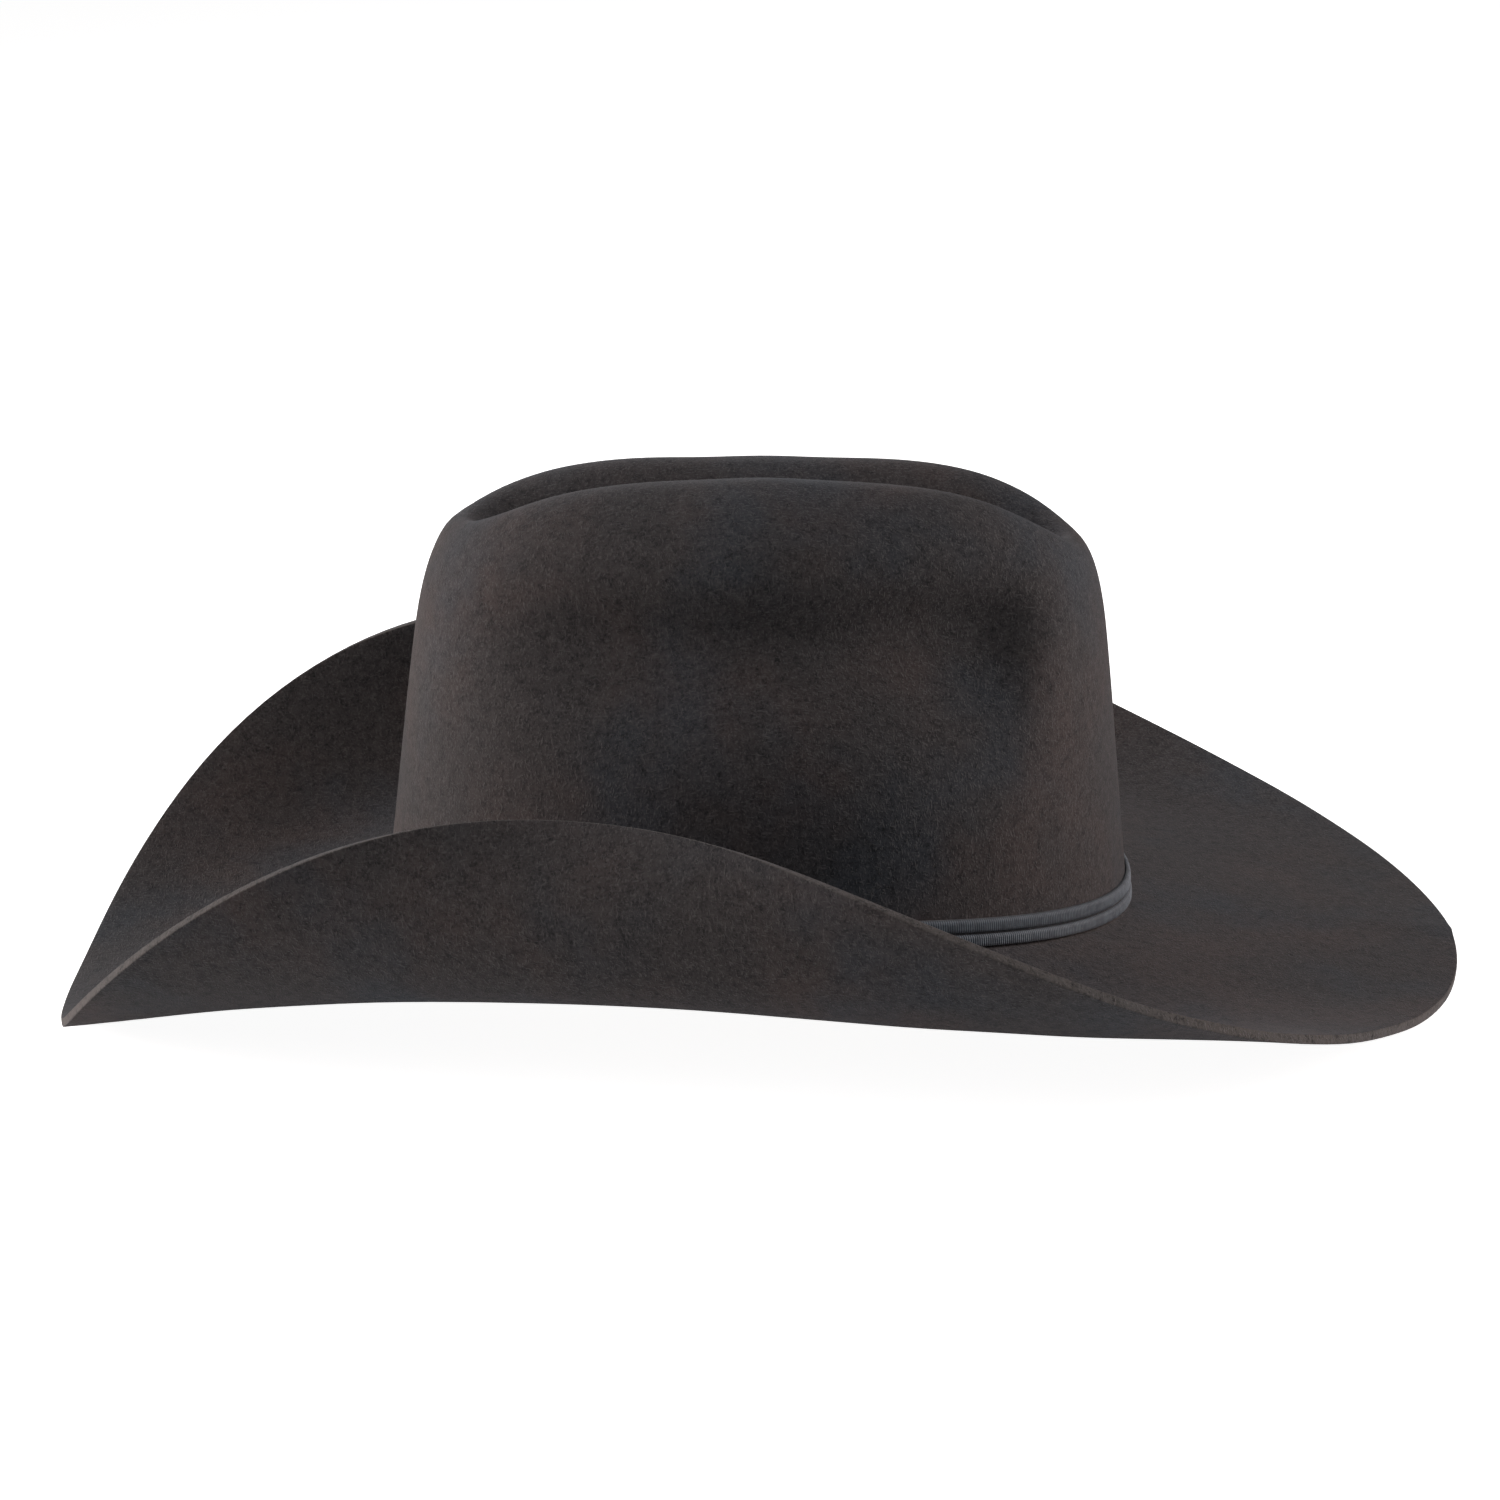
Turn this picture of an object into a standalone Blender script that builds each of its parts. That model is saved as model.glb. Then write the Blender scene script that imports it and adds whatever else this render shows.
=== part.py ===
"""Western felt hat: creased crown, curled brim, narrow ribbed band and all of its inside trim.

Metres, +Z up, +X to the front of the hat, +Y to the wearer's left.  Two formulas hold the shape, one
for the crown and one for the brim.  Every layer of trim is a share of the same crown formula, moved
in or out by the thickness of what lies between, so it keeps following the felt when a size changes.
"""
import math

import bmesh
import bpy
import numpy as np

# Head opening, inside the sweatband
HEAD_LENGTH = 0.1992
HEAD_WIDTH = 0.1632

# Thickness of each layer, and the play between layers that touch
FELT = 0.0026
TAPE = 0.0004
REED = 0.0008
LEATHER = 0.0010
SATIN = 0.0005
PLASTIC = 0.0004
RIBBON = 0.0006
THREAD = 0.0006
GAP = 0.0003
LINING_PLAY = 0.0012
COVER_PLAY = 0.0010
TRIM_PLAY = 0.0006

# Crown
CROWN_HEIGHT = 0.1248
CROWN_TAPER = 0.122
SIDE_SQUARENESS = 3.39
END_SQUARENESS = 8.22
FORWARD_LEAN = 0.0009
TOP_FALL = 0.0074
RIDGE_PLACE = 0.035
RIDGE_DIFFERENCE = 0.0044
RIDGE_ARCH = 0.53
LIFT_REACH = 0.77
TOP_START = 0.60
CREASE_START = 0.55
TOP_RUN = 0.40
SIDE_LIFT = 0.0097
FRONT_LIFT = -0.0024

# Centre crease and side dents
CREASE_DEPTH = 0.0231
CREASE_HALF_WIDTH = 0.0162
CREASE_BACK_MARGIN = 0.0169
CREASE_FRONT_MARGIN = 0.0109
CREASE_END_RUN = 0.0280
DENT_DEPTH = 0.0140
DENT_DROP = 0.0388
DENT_RUN_UP = 0.0160
DENT_RUN_DOWN = 0.0240
DENT_BACK_MARGIN = 0.0251
DENT_FRONT_MARGIN = 0.0211
DENT_BACK_SHARPNESS = 4
DENT_FRONT_SHARPNESS = 9
DENT_FORWARD_GAIN = 0.25
DENT_TURN = 0.625
TOP_REACH = 0.40
TOP_REACH_RUN = 0.30
DENT_LIMIT = 0.8

# Brim: width of the flat felt, and the slope and curl of its section in degrees
BRIM_WIDTH = 0.0937
BRIM_END_EXTRA = 0.0058
BRIM_FRONT_EXTRA = -0.0020
BRIM_DIAGONAL_EXTRA = 0.0017
BRIM_THREE_WAY_EXTRA = 0.0013
SLOPE_SIDE = -22.8
SLOPE_FRONT = -8.4
SLOPE_BACK = -33.4
CURL_SIDE = 127.8
CURL_FRONT = 3.5
CURL_BACK = 24.8
CURL_TO_BACK = 0.99
CURL_SPREAD = 0.63
CURL_SPREAD_FRONT = -0.47

# Hatband rows and their centre stitch
ROW_LOW = 0.0005
LOWER_ROW_HEIGHT = 0.0032
UPPER_ROW_HEIGHT = 0.0036
ROW_THICKNESS = 0.0013
ROW_EDGE = 0.45

# Bow over the band's join, on the wearer's left
BOW_KNOT_WIDTH = 0.0090
BOW_KNOT_DEPTH = 0.0034
BOW_LOOP_LENGTH = 0.0250
BOW_LOOP_DEPTH = 0.0026
BOW_TAIL_LENGTH = 0.0310
BOW_TAIL_SLANT = 0.0040

# Sweatband and what holds it
SWEATBAND_LOW = -0.0020
SWEATBAND_HEIGHT = 0.0500
SWEATBAND_SEAM = 0.0006
TAPE_LOW = -0.0015
TAPE_HEIGHT = 0.0095
REED_HEIGHT = 0.0030
SEAM_TAPE_WIDTH = 0.0100
SEAM_STITCH_WIDTH = 0.0060
SEAM_STITCH_TURNS = 9
BACK_BOW_HEIGHT = 0.0060
BACK_BOW_LENGTH = 0.0110
BACK_BOW_KNOT = 0.0034
LABEL_WIDTH = 0.0240
LABEL_HEIGHT = 0.0220
LABEL_OFFSET = 0.0140

# Lining: where it starts, and the rows of the crown at which its top and the clear cover begin
LINING_LOW = 0.0100
LINING_SEAM_ROW = 7
PROTECTOR_ROW = 9
PIPING_RADIUS = 0.0008

# Fineness of the surfaces
ANGLE_STEPS = 48
BRIM_ROWS = 7
CROWN_ROWS = 12
BRIM_SUBSTEPS = 6
LOOP_STEPS = 16
RIBBON_POINTS = 5
PIPING_SIDES = 5
STITCH_SIDES = 4
SETTLE_STEPS = 4

# Small steps for working out the slope of a surface
ANGLE_PROBE = 0.004
TURN_PROBE = 0.004
NEAR_TOP = 0.995
NEAR_ZERO = 1e-6

# Depth of each layer behind the felt's outer face
TAPE_OUTER = FELT + GAP
REED_OUTER = TAPE_OUTER + TAPE + GAP
TAPE_INNER = REED_OUTER + REED + GAP
SWEATBAND_OUTER = TAPE_INNER + TAPE + GAP
SWEATBAND_INNER = SWEATBAND_OUTER + LEATHER
LINING_OUTER = FELT + LINING_PLAY
LINING_INNER = LINING_OUTER + SATIN

HALF_LENGTH = HEAD_LENGTH / 2 + SWEATBAND_INNER
HALF_WIDTH = HEAD_WIDTH / 2 + SWEATBAND_INNER
TOP_HALF_LENGTH = HALF_LENGTH * (1.0 - CROWN_TAPER)

# Ends of the crease and of the dents, and the dents' height, from the top's own ends and height
CREASE_BACK = CREASE_BACK_MARGIN - TOP_HALF_LENGTH
CREASE_FRONT = TOP_HALF_LENGTH - CREASE_FRONT_MARGIN
DENT_BACK_LENGTH = TOP_HALF_LENGTH - DENT_BACK_MARGIN
DENT_FRONT_LENGTH = TOP_HALF_LENGTH - DENT_FRONT_MARGIN
DENT_HEIGHT = CROWN_HEIGHT - DENT_DROP

ANGLES = np.arange(ANGLE_STEPS) * (2 * math.pi / ANGLE_STEPS)
TURNS = np.arange(CROWN_ROWS) / CROWN_ROWS
LEFT = math.pi / 2
BACK = math.pi


def smooth(x):
    """Rise from 0 to 1 with level ends."""
    x = np.clip(x, 0.0, 1.0)
    return x * x * (3.0 - 2.0 * x)


def outward(angle):
    """Level unit vector square to the oval of the head."""
    x = np.cos(angle) / HALF_LENGTH
    y = np.sin(angle) / HALF_WIDTH
    length = np.hypot(x, y)
    return np.stack([x / length, y / length, 0.0 * x], axis=-1)


def break_height(angle):
    """Height of the line where brim and crown meet, highest at the sides."""
    return SIDE_LIFT * np.sin(angle) ** 2 + FRONT_LIFT * np.cos(angle)


def squareness(angle):
    """Power of the crown's rounded-square profile: full at both ends, rounder at the sides."""
    return SIDE_SQUARENESS + (END_SQUARENESS - SIDE_SQUARENESS) * np.cos(angle) ** 4


def crease(x, y):
    """Depth of the centre crease: a bell across, with sloped ends along."""
    back_end = smooth((x - CREASE_BACK) / CREASE_END_RUN + 0.5)
    front_end = smooth((CREASE_FRONT - x) / CREASE_END_RUN + 0.5)
    return CREASE_DEPTH * back_end * front_end * np.exp(-(y / CREASE_HALF_WIDTH) ** 2)


def side_dent(x, z):
    """Depth of the dent in each side: a bell upwards; along, deeper and sharper at its front end."""
    run = np.where(z > DENT_HEIGHT, DENT_RUN_UP, DENT_RUN_DOWN)
    upwards = np.exp(-((z - DENT_HEIGHT) / run) ** 2)
    back = np.exp(-np.abs(x / DENT_BACK_LENGTH) ** DENT_BACK_SHARPNESS)
    front = np.exp(-np.abs(x / DENT_FRONT_LENGTH) ** DENT_FRONT_SHARPNESS)
    along = np.where(x < 0, back, front) * (1.0 + DENT_FORWARD_GAIN * x / DENT_FRONT_LENGTH)
    return DENT_DEPTH * upwards * along


def crown(angle, reach, rise):
    """Outer face of the crown at a share of the oval's radius and a share of the crown's height."""
    narrowing = 1.0 - CROWN_TAPER * rise
    x = HALF_LENGTH * reach * narrowing * np.cos(angle) + FORWARD_LEAN * rise
    y = HALF_WIDTH * reach * narrowing * np.sin(angle)
    z = CROWN_HEIGHT * rise + break_height(angle) * (1.0 - smooth(rise / LIFT_REACH))
    side = np.clip(y / RIDGE_PLACE, -1.0, 1.0)
    fall = TOP_FALL * (1.0 - RIDGE_ARCH * side) * (x / TOP_HALF_LENGTH) ** 2
    z = z - (fall + RIDGE_DIFFERENCE * side) * smooth((rise - TOP_START) / TOP_RUN)
    z = z - crease(x, y) * smooth((rise - CREASE_START) / TOP_RUN)
    on_side = smooth(np.abs(np.sin(angle)) / DENT_TURN) * smooth((reach - TOP_REACH) / TOP_REACH_RUN)
    dent = side_dent(x, z) * on_side
    y = y - np.sign(y) * np.minimum(dent, DENT_LIMIT * np.abs(y))
    return np.stack([x, y, z], axis=-1)


def shares_at(turns, angles):
    """Share of the oval's radius and of the crown's height at each turn and angle."""
    power = squareness(angles[None, :])
    quarter = np.asarray(turns)[:, None] * (math.pi / 2)
    across = np.maximum(np.cos(quarter), 0.0)
    up = np.sin(quarter)
    scale = (across ** power + up ** power) ** (-1.0 / power)
    return across * scale, up * scale


def crown_rows(turns, angles=ANGLES):
    """Rows of the crown's outer face, from turn 0 at the break to turn 1 at the centre of the top."""
    return crown(angles[None, :], *shares_at(turns, angles))


def wall(angle, height, depth):
    """Point of the crown's wall at a height above the break, moved level into the hat by depth."""
    angle = np.asarray(angle, dtype=float)
    rise = np.clip(height / CROWN_HEIGHT, 0.0, 1.0)
    power = squareness(angle)
    point = crown(angle, (1.0 - rise ** power) ** (1.0 / power), rise + 0.0 * angle)
    point[..., 2] += np.minimum(height, 0.0)
    return point - np.asarray(depth)[..., None] * outward(angle)


def flat_wall(angles, height, depth):
    """Point at a height on the felt's flat faces between two rows, moved level into the hat.

    The move is the depth over the cosine of the faces' lean, so it is the depth measured square.
    """
    heights = CROWN_HEIGHT * shares_at(TURNS, angles)[1]
    rows = crown_rows(TURNS, angles)
    above = np.argmax(heights > height, axis=0)
    column = np.arange(len(angles))
    low, high = heights[above - 1, column], heights[above, column]
    share = ((height - low) / (high - low))[:, None]
    along = rows[above, column] - rows[above - 1, column]
    level = depth * np.linalg.norm(along, axis=1) / along[:, 2]
    return rows[above - 1, column] + along * share - level[:, None] * outward(angles)


def crown_normals(turns):
    """Unit vectors square to the crown's outer face, from the slope of its formula."""
    turns = np.asarray(turns)
    along = crown_rows(turns, ANGLES + ANGLE_PROBE) - crown_rows(turns, ANGLES - ANGLE_PROBE)
    upwards = crown_rows(turns + TURN_PROBE) - crown_rows(np.maximum(turns - TURN_PROBE, 0.0))
    normal = np.cross(along, upwards)
    return normal / np.linalg.norm(normal, axis=-1, keepdims=True)


def layer_rows(turns, depth):
    """Rows of a layer that follows the crown from inside, square to its face by depth."""
    return crown_rows(turns) - depth * crown_normals(turns)


def brim_rows(angles=ANGLES):
    """Rows of the brim's upper face, from its cut edge towards the break, and the section's direction.

    The section starts at the break with its own slope and turns up by its own curl.  Adding up
    short steps along it keeps the felt's width, as bending does.
    """
    cosine, sine = np.cos(angles), np.sin(angles)
    front, back = np.clip(cosine, 0, 1) ** 2, np.clip(-cosine, 0, 1) ** 2
    width = BRIM_WIDTH + BRIM_END_EXTRA * np.cos(2 * angles) + BRIM_FRONT_EXTRA * cosine
    width = width - BRIM_THREE_WAY_EXTRA * np.cos(3 * angles)
    width = width - BRIM_DIAGONAL_EXTRA * np.cos(4 * angles)
    slope = SLOPE_SIDE * sine ** 2 + SLOPE_FRONT * front + SLOPE_BACK * back
    side = (np.abs(sine) + NEAR_ZERO) ** (2 * (CURL_SPREAD + CURL_SPREAD_FRONT * cosine))
    curl = CURL_SIDE * side * (1.0 - CURL_TO_BACK * cosine)
    curl = curl + (CURL_FRONT * front + CURL_BACK * back) * (1.0 - side)
    steps = BRIM_ROWS * BRIM_SUBSTEPS
    share = (np.arange(steps)[:, None] + 0.5) / steps
    tilt = np.radians(slope + curl * smooth(share))
    run = np.cumsum(np.cos(tilt) * width / steps, axis=0)
    lift = np.cumsum(np.sin(tilt) * width / steps, axis=0)
    kept = slice(BRIM_SUBSTEPS - 1, None, BRIM_SUBSTEPS)
    up = np.array([0.0, 0.0, 1.0])
    rows = wall(angles, 0.0, 0.0) + run[kept, :, None] * outward(angles) + lift[kept, :, None] * up
    direction = np.cos(tilt)[kept, :, None] * outward(angles) + np.sin(tilt)[kept, :, None] * up
    return rows[::-1], direction[::-1]


def brim_normals(direction):
    """Unit vectors square to the brim's upper face."""
    along = brim_rows(ANGLES + ANGLE_PROBE)[0] - brim_rows(ANGLES - ANGLE_PROBE)[0]
    normal = np.cross(along, -direction)
    return normal / np.linalg.norm(normal, axis=-1, keepdims=True)


def material(name, colour, roughness, metallic=0.0, alpha=1.0):
    """Principled material with a plain colour."""
    made = bpy.data.materials.new(name)
    made.use_nodes = True
    shader = made.node_tree.nodes["Principled BSDF"]
    shader.inputs["Base Color"].default_value = (*colour, 1.0)
    shader.inputs["Roughness"].default_value = roughness
    shader.inputs["Metallic"].default_value = metallic
    shader.inputs["Alpha"].default_value = alpha
    return made


def finish_object(name, mesh, made_of, parent):
    """Link a mesh as an object of the hat, shaded smooth."""
    mesh.materials.append(made_of)
    mesh.shade_smooth()
    made = bpy.data.objects.new(name, mesh)
    bpy.context.scene.collection.objects.link(made)
    made.parent = parent
    return made


def mesh_of_grid(name, rows, closed_rows=True, poles=(), caps=False):
    """Closed mesh over rows of points, which are rings between two poles, or strips between caps."""
    shape = bmesh.new()
    grid = [[shape.verts.new(point) for point in row] for row in rows]
    count = len(grid[0])
    last = count if closed_rows else count - 1
    pairs = list(zip(grid[:-1], grid[1:]))
    if not poles:
        pairs.append((grid[-1], grid[0]))
    for low, high in pairs:
        for i in range(last):
            j = (i + 1) % count
            shape.faces.new((low[i], low[j], high[j], high[i]))
    for pole, ring in zip(poles, (grid[0], grid[-1])):
        centre = shape.verts.new(pole)
        for i in range(last):
            shape.faces.new((ring[i], ring[(i + 1) % count], centre))
    if caps:
        for i in (0, count - 1):
            shape.faces.new([row[i] for row in grid])
    bmesh.ops.recalc_face_normals(shape, faces=shape.faces)
    mesh = bpy.data.meshes.new(name)
    shape.to_mesh(mesh)
    shape.free()
    return mesh


def sweep(name, section, made_of, parent, closed=True):
    """Closed solid whose section points each run along their own path."""
    mesh = mesh_of_grid(name, section, closed, caps=not closed)
    return finish_object(name, mesh, made_of, parent)


def cap(name, outer, inner, poles, made_of, parent):
    """Closed solid between two faces that each run from an open edge to a pole."""
    mesh = mesh_of_grid(name, np.concatenate([outer[::-1], inner]), poles=poles)
    return finish_object(name, mesh, made_of, parent)


def wall_section(angle, corners):
    """Paths at constant height and depth along the crown's wall, one for each corner."""
    return np.stack([wall(angle, height, depth + 0.0 * angle) for depth, height in corners])


def round_corners(depth, height, radius):
    """Four corners of a thread's section."""
    return [(depth - radius, height), (depth, height + radius),
            (depth + radius, height), (depth, height - radius)]


def box_corners(outer, inner, low, high):
    """Four corners of a flat band's section."""
    return [(outer, low), (outer, high), (inner, high), (inner, low)]


def crowned_corners(outer, inner, low, high):
    """Section of a ribbed ribbon row: flat against the felt, rounded in front."""
    edge = (inner - outer) * ROW_EDGE
    return [(inner, low), (outer + edge, low), (outer, low + edge), (outer, high - edge),
            (outer + edge, high), (inner, high)]


def felt_body(made_of, parent):
    """Crown and brim in one piece of felt, with an outer and an inner face."""
    brim, direction = brim_rows()
    brim_normal = brim_normals(direction)
    crown_normal = crown_normals(TURNS)
    corner = crown_normal[0] + brim_normal[-1]
    corner /= 1.0 + np.sum(crown_normal[0] * brim_normal[-1], axis=-1, keepdims=True)
    outer = np.concatenate([brim, crown_rows(TURNS)])
    normal = np.concatenate([brim_normal, corner[None], crown_normal[1:]])
    poles = [layer_rows([NEAR_TOP], depth)[0].mean(axis=0) for depth in (0.0, FELT)]
    return cap("felt_body", outer, outer - FELT * normal, poles, made_of, parent)


def hatband(ribbon, dark, parent):
    """Two ribbed rows round the foot of the crown, and the stitched line between them."""
    outer = -GAP - ROW_THICKNESS
    lower_top = ROW_LOW + LOWER_ROW_HEIGHT
    upper_low = lower_top + THREAD + 2 * GAP
    rows = {"hatband_lower_row": (ROW_LOW, lower_top),
            "hatband_upper_row": (upper_low, upper_low + UPPER_ROW_HEIGHT)}
    for name, (low, high) in rows.items():
        sweep(name, wall_section(ANGLES, crowned_corners(outer, -GAP, low, high)), ribbon, parent)
    middle = (lower_top + upper_low) / 2
    thread = round_corners(-GAP - THREAD, middle, THREAD / 2)
    sweep("hatband_centre_stitch", wall_section(ANGLES, thread), dark, parent)
    return upper_low + UPPER_ROW_HEIGHT


def on_wall(middle, half_axis, along, height, out):
    """Point by its distance along the wall from a middle angle, its height and its distance out."""
    along, height, out = np.broadcast_arrays(along, height, out)
    return wall(middle - along / half_axis, height, -out)


def flat_piece(name, middle, half_axis, along, heights, outs, made_of, parent):
    """Flat strip lying on the wall between two ends, two heights and two distances out."""
    corners = [(heights[0], outs[0]), (heights[1], outs[0]),
               (heights[1], outs[1]), (heights[0], outs[1])]
    paths = [on_wall(middle, half_axis, along, height, out) for height, out in corners]
    return sweep(name, np.stack(paths), made_of, parent, closed=False)


def bow_loop(name, side, low, high, base, made_of, parent):
    """Flattened loop of ribbon beside the knot: an oval sheet wall with its edges up and down."""
    around = np.arange(LOOP_STEPS) * (2 * math.pi / LOOP_STEPS)
    start = BOW_KNOT_WIDTH / 2 + GAP
    corners = []
    for inset, height in ((0.0, low), (0.0, high), (RIBBON, high), (RIBBON, low)):
        half = BOW_LOOP_LENGTH / 2 - inset
        bulge = BOW_LOOP_DEPTH / 2 - inset
        along = start + BOW_LOOP_LENGTH / 2 - half * np.cos(around)
        out = base + BOW_LOOP_DEPTH / 2 + bulge * np.sin(around)
        corners.append(on_wall(LEFT, HALF_LENGTH, side * along, height, out))
    return sweep(name, np.stack(corners), made_of, parent)


def bow_tail(name, side, low, high, base, made_of, parent):
    """Flat end of the ribbon under the loop, cut on a slant."""
    start = BOW_KNOT_WIDTH / 2 + GAP
    share = np.linspace(0.0, 1.0, RIBBON_POINTS)
    corners = []
    for height, out in ((low, base), (high, base), (high, base + RIBBON), (low, base + RIBBON)):
        slant = BOW_TAIL_SLANT if height == high else 0.0
        along = start + share * (BOW_TAIL_LENGTH - slant)
        corners.append(on_wall(LEFT, HALF_LENGTH, side * along, height, out))
    return sweep(name, np.stack(corners), made_of, parent, closed=False)


def side_bow(ribbon, parent, top):
    """Knot, loops and tails over the join of the band."""
    base = 2 * GAP + ROW_THICKNESS
    loop_base = base + RIBBON + GAP
    across = np.linspace(-BOW_KNOT_WIDTH / 2, BOW_KNOT_WIDTH / 2, RIBBON_POINTS)
    flat_piece("bow_knot", LEFT, HALF_LENGTH, across, (ROW_LOW, top),
               (base, base + BOW_KNOT_DEPTH), ribbon, parent)
    for end, side in (("front", 1.0), ("back", -1.0)):
        bow_loop(f"bow_{end}_loop", side, ROW_LOW, top, loop_base, ribbon, parent)
        bow_tail(f"bow_{end}_tail", side, ROW_LOW, top, base, ribbon, parent)


def sweatband(leather, parent):
    """Leather band, open by a narrow seam at the back."""
    half_seam = SWEATBAND_SEAM / 2 / HALF_WIDTH
    angle = np.concatenate([[BACK + half_seam], ANGLES[1:] + BACK, [3 * BACK - half_seam]])
    top = SWEATBAND_LOW + SWEATBAND_HEIGHT
    heights = CROWN_HEIGHT * shares_at(TURNS[1:], angle)[1]
    levels = [*heights[heights.max(axis=1) < top - LEATHER], top]
    faces = []
    for depth in (SWEATBAND_OUTER, SWEATBAND_INNER):
        foot = wall(angle, SWEATBAND_LOW, depth + 0.0 * angle)
        faces.append(np.stack([foot, *[flat_wall(angle, level, depth) for level in levels]]))
    section = np.concatenate([faces[0], faces[1][::-1]])
    return sweep("sweatband", section, leather, parent, closed=False)


def reed_and_tape(tape, plastic, thread, parent):
    """Folded tape along the sweatband's foot, the reed in its fold, and the thread that holds it."""
    top = TAPE_LOW + TAPE_HEIGHT
    fold = TAPE_LOW + TAPE
    far = TAPE_INNER + TAPE
    folded = [(TAPE_OUTER, top), (TAPE_OUTER, TAPE_LOW), (far, TAPE_LOW), (far, top),
              (TAPE_INNER, top), (TAPE_INNER, fold),
              (TAPE_OUTER + TAPE, fold), (TAPE_OUTER + TAPE, top)]
    sweep("reed_tape", wall_section(ANGLES, folded), tape, parent)
    low = fold + GAP
    bar = box_corners(REED_OUTER, REED_OUTER + REED, low, low + REED_HEIGHT)
    sweep("reed", wall_section(ANGLES, bar), plastic, parent)
    run = round_corners(TAPE_OUTER + TAPE, TAPE_LOW - GAP - THREAD / 2, THREAD / 2)
    sweep("reed_stitch", wall_section(ANGLES, run), thread, parent)
    return top


def back_seam(tape, thread, ribbon, parent, reed_top):
    """Strip behind the sweatband's seam, zigzag thread across it and the small bow at its foot."""
    half = SEAM_TAPE_WIDTH / 2
    top = SWEATBAND_LOW + SWEATBAND_HEIGHT - GAP
    behind = -(SWEATBAND_OUTER - GAP)
    flat_piece("sweatband_seam_tape", BACK, HALF_WIDTH, np.linspace(-half, half, 3),
               (reed_top + GAP, top), (behind, behind + TAPE), tape, parent)
    front = -(SWEATBAND_INNER + TRIM_PLAY)
    bow_top = SWEATBAND_LOW + BACK_BOW_HEIGHT
    bow_front = front - 3 * RIBBON
    half_knot = BACK_BOW_KNOT / 2
    flat_piece("sweatband_bow_knot", BACK, HALF_WIDTH, np.linspace(-half_knot, half_knot, 2),
               (SWEATBAND_LOW, bow_top), (front, bow_front), ribbon, parent)
    for name, side in (("sweatband_bow_left", 1.0), ("sweatband_bow_right", -1.0)):
        along = side * np.linspace(half_knot + GAP, half_knot + GAP + BACK_BOW_LENGTH, 3)
        flat_piece(name, BACK, HALF_WIDTH, along, (SWEATBAND_LOW, bow_top),
                   (front, front - 2 * RIBBON), ribbon, parent)
    zigzag(thread, parent, bow_top + THREAD, top - THREAD)


def zigzag(thread, parent, low, high):
    """Thread crossing the seam from side to side, as one smooth-shaded tube."""
    count = 2 * SEAM_STITCH_TURNS + 1
    side = np.where(np.arange(count) % 2 == 0, 0.5, -0.5) * SEAM_STITCH_WIDTH
    height = np.linspace(low, high, count)
    depth = SWEATBAND_INNER + TRIM_PLAY + THREAD / 2
    points = [wall(BACK + a / HALF_WIDTH, h, depth) for a, h in zip(side, height)]
    curve = bpy.data.curves.new("sweatband_seam_stitch", "CURVE")
    curve.dimensions = "3D"
    curve.bevel_depth = THREAD / 2
    curve.bevel_resolution = 1
    curve.use_fill_caps = True
    line = curve.splines.new("POLY")
    line.points.add(count - 1)
    for spot, point in zip(line.points, points):
        spot.co = (*point, 1.0)
    curve.materials.append(thread)
    made = bpy.data.objects.new("sweatband_seam_stitch", curve)
    bpy.context.scene.collection.objects.link(made)
    made.parent = parent


def size_label(paper, parent, reed_top):
    """Plain tag behind the sweatband, beside its back seam."""
    low = reed_top + 2 * GAP
    behind = -(SWEATBAND_OUTER - GAP)
    along = LABEL_OFFSET + np.linspace(0.0, LABEL_WIDTH, RIBBON_POINTS)
    flat_piece("size_label", BACK, HALF_WIDTH, along, (low, low + LABEL_HEIGHT),
               (behind, behind + TAPE), paper, parent)


def ring_in_crown(name, turn, depth, radius, sides, made_of, parent):
    """Round ring that follows the crown's inside at one turn."""
    normal = crown_normals([turn])[0]
    centre = crown_rows([turn])[0] - depth * normal
    upwards = np.cross(normal, np.roll(centre, -1, axis=0) - np.roll(centre, 1, axis=0))
    upwards /= np.linalg.norm(upwards, axis=-1, keepdims=True)
    around = np.arange(sides) * (2 * math.pi / sides)
    section = [centre + radius * (math.cos(a) * normal + math.sin(a) * upwards) for a in around]
    sweep(name, np.stack(section), made_of, parent)


def top_layer(name, turns, depth, thickness, made_of, parent):
    """Layer under the top of the crown, closed at its centre."""
    depths = (depth, depth + thickness)
    poles = [layer_rows([NEAR_TOP], each)[0].mean(axis=0) for each in depths]
    outer, inner = [layer_rows(turns, each) for each in depths]
    return cap(name, outer, inner, poles, made_of, parent)


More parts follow.
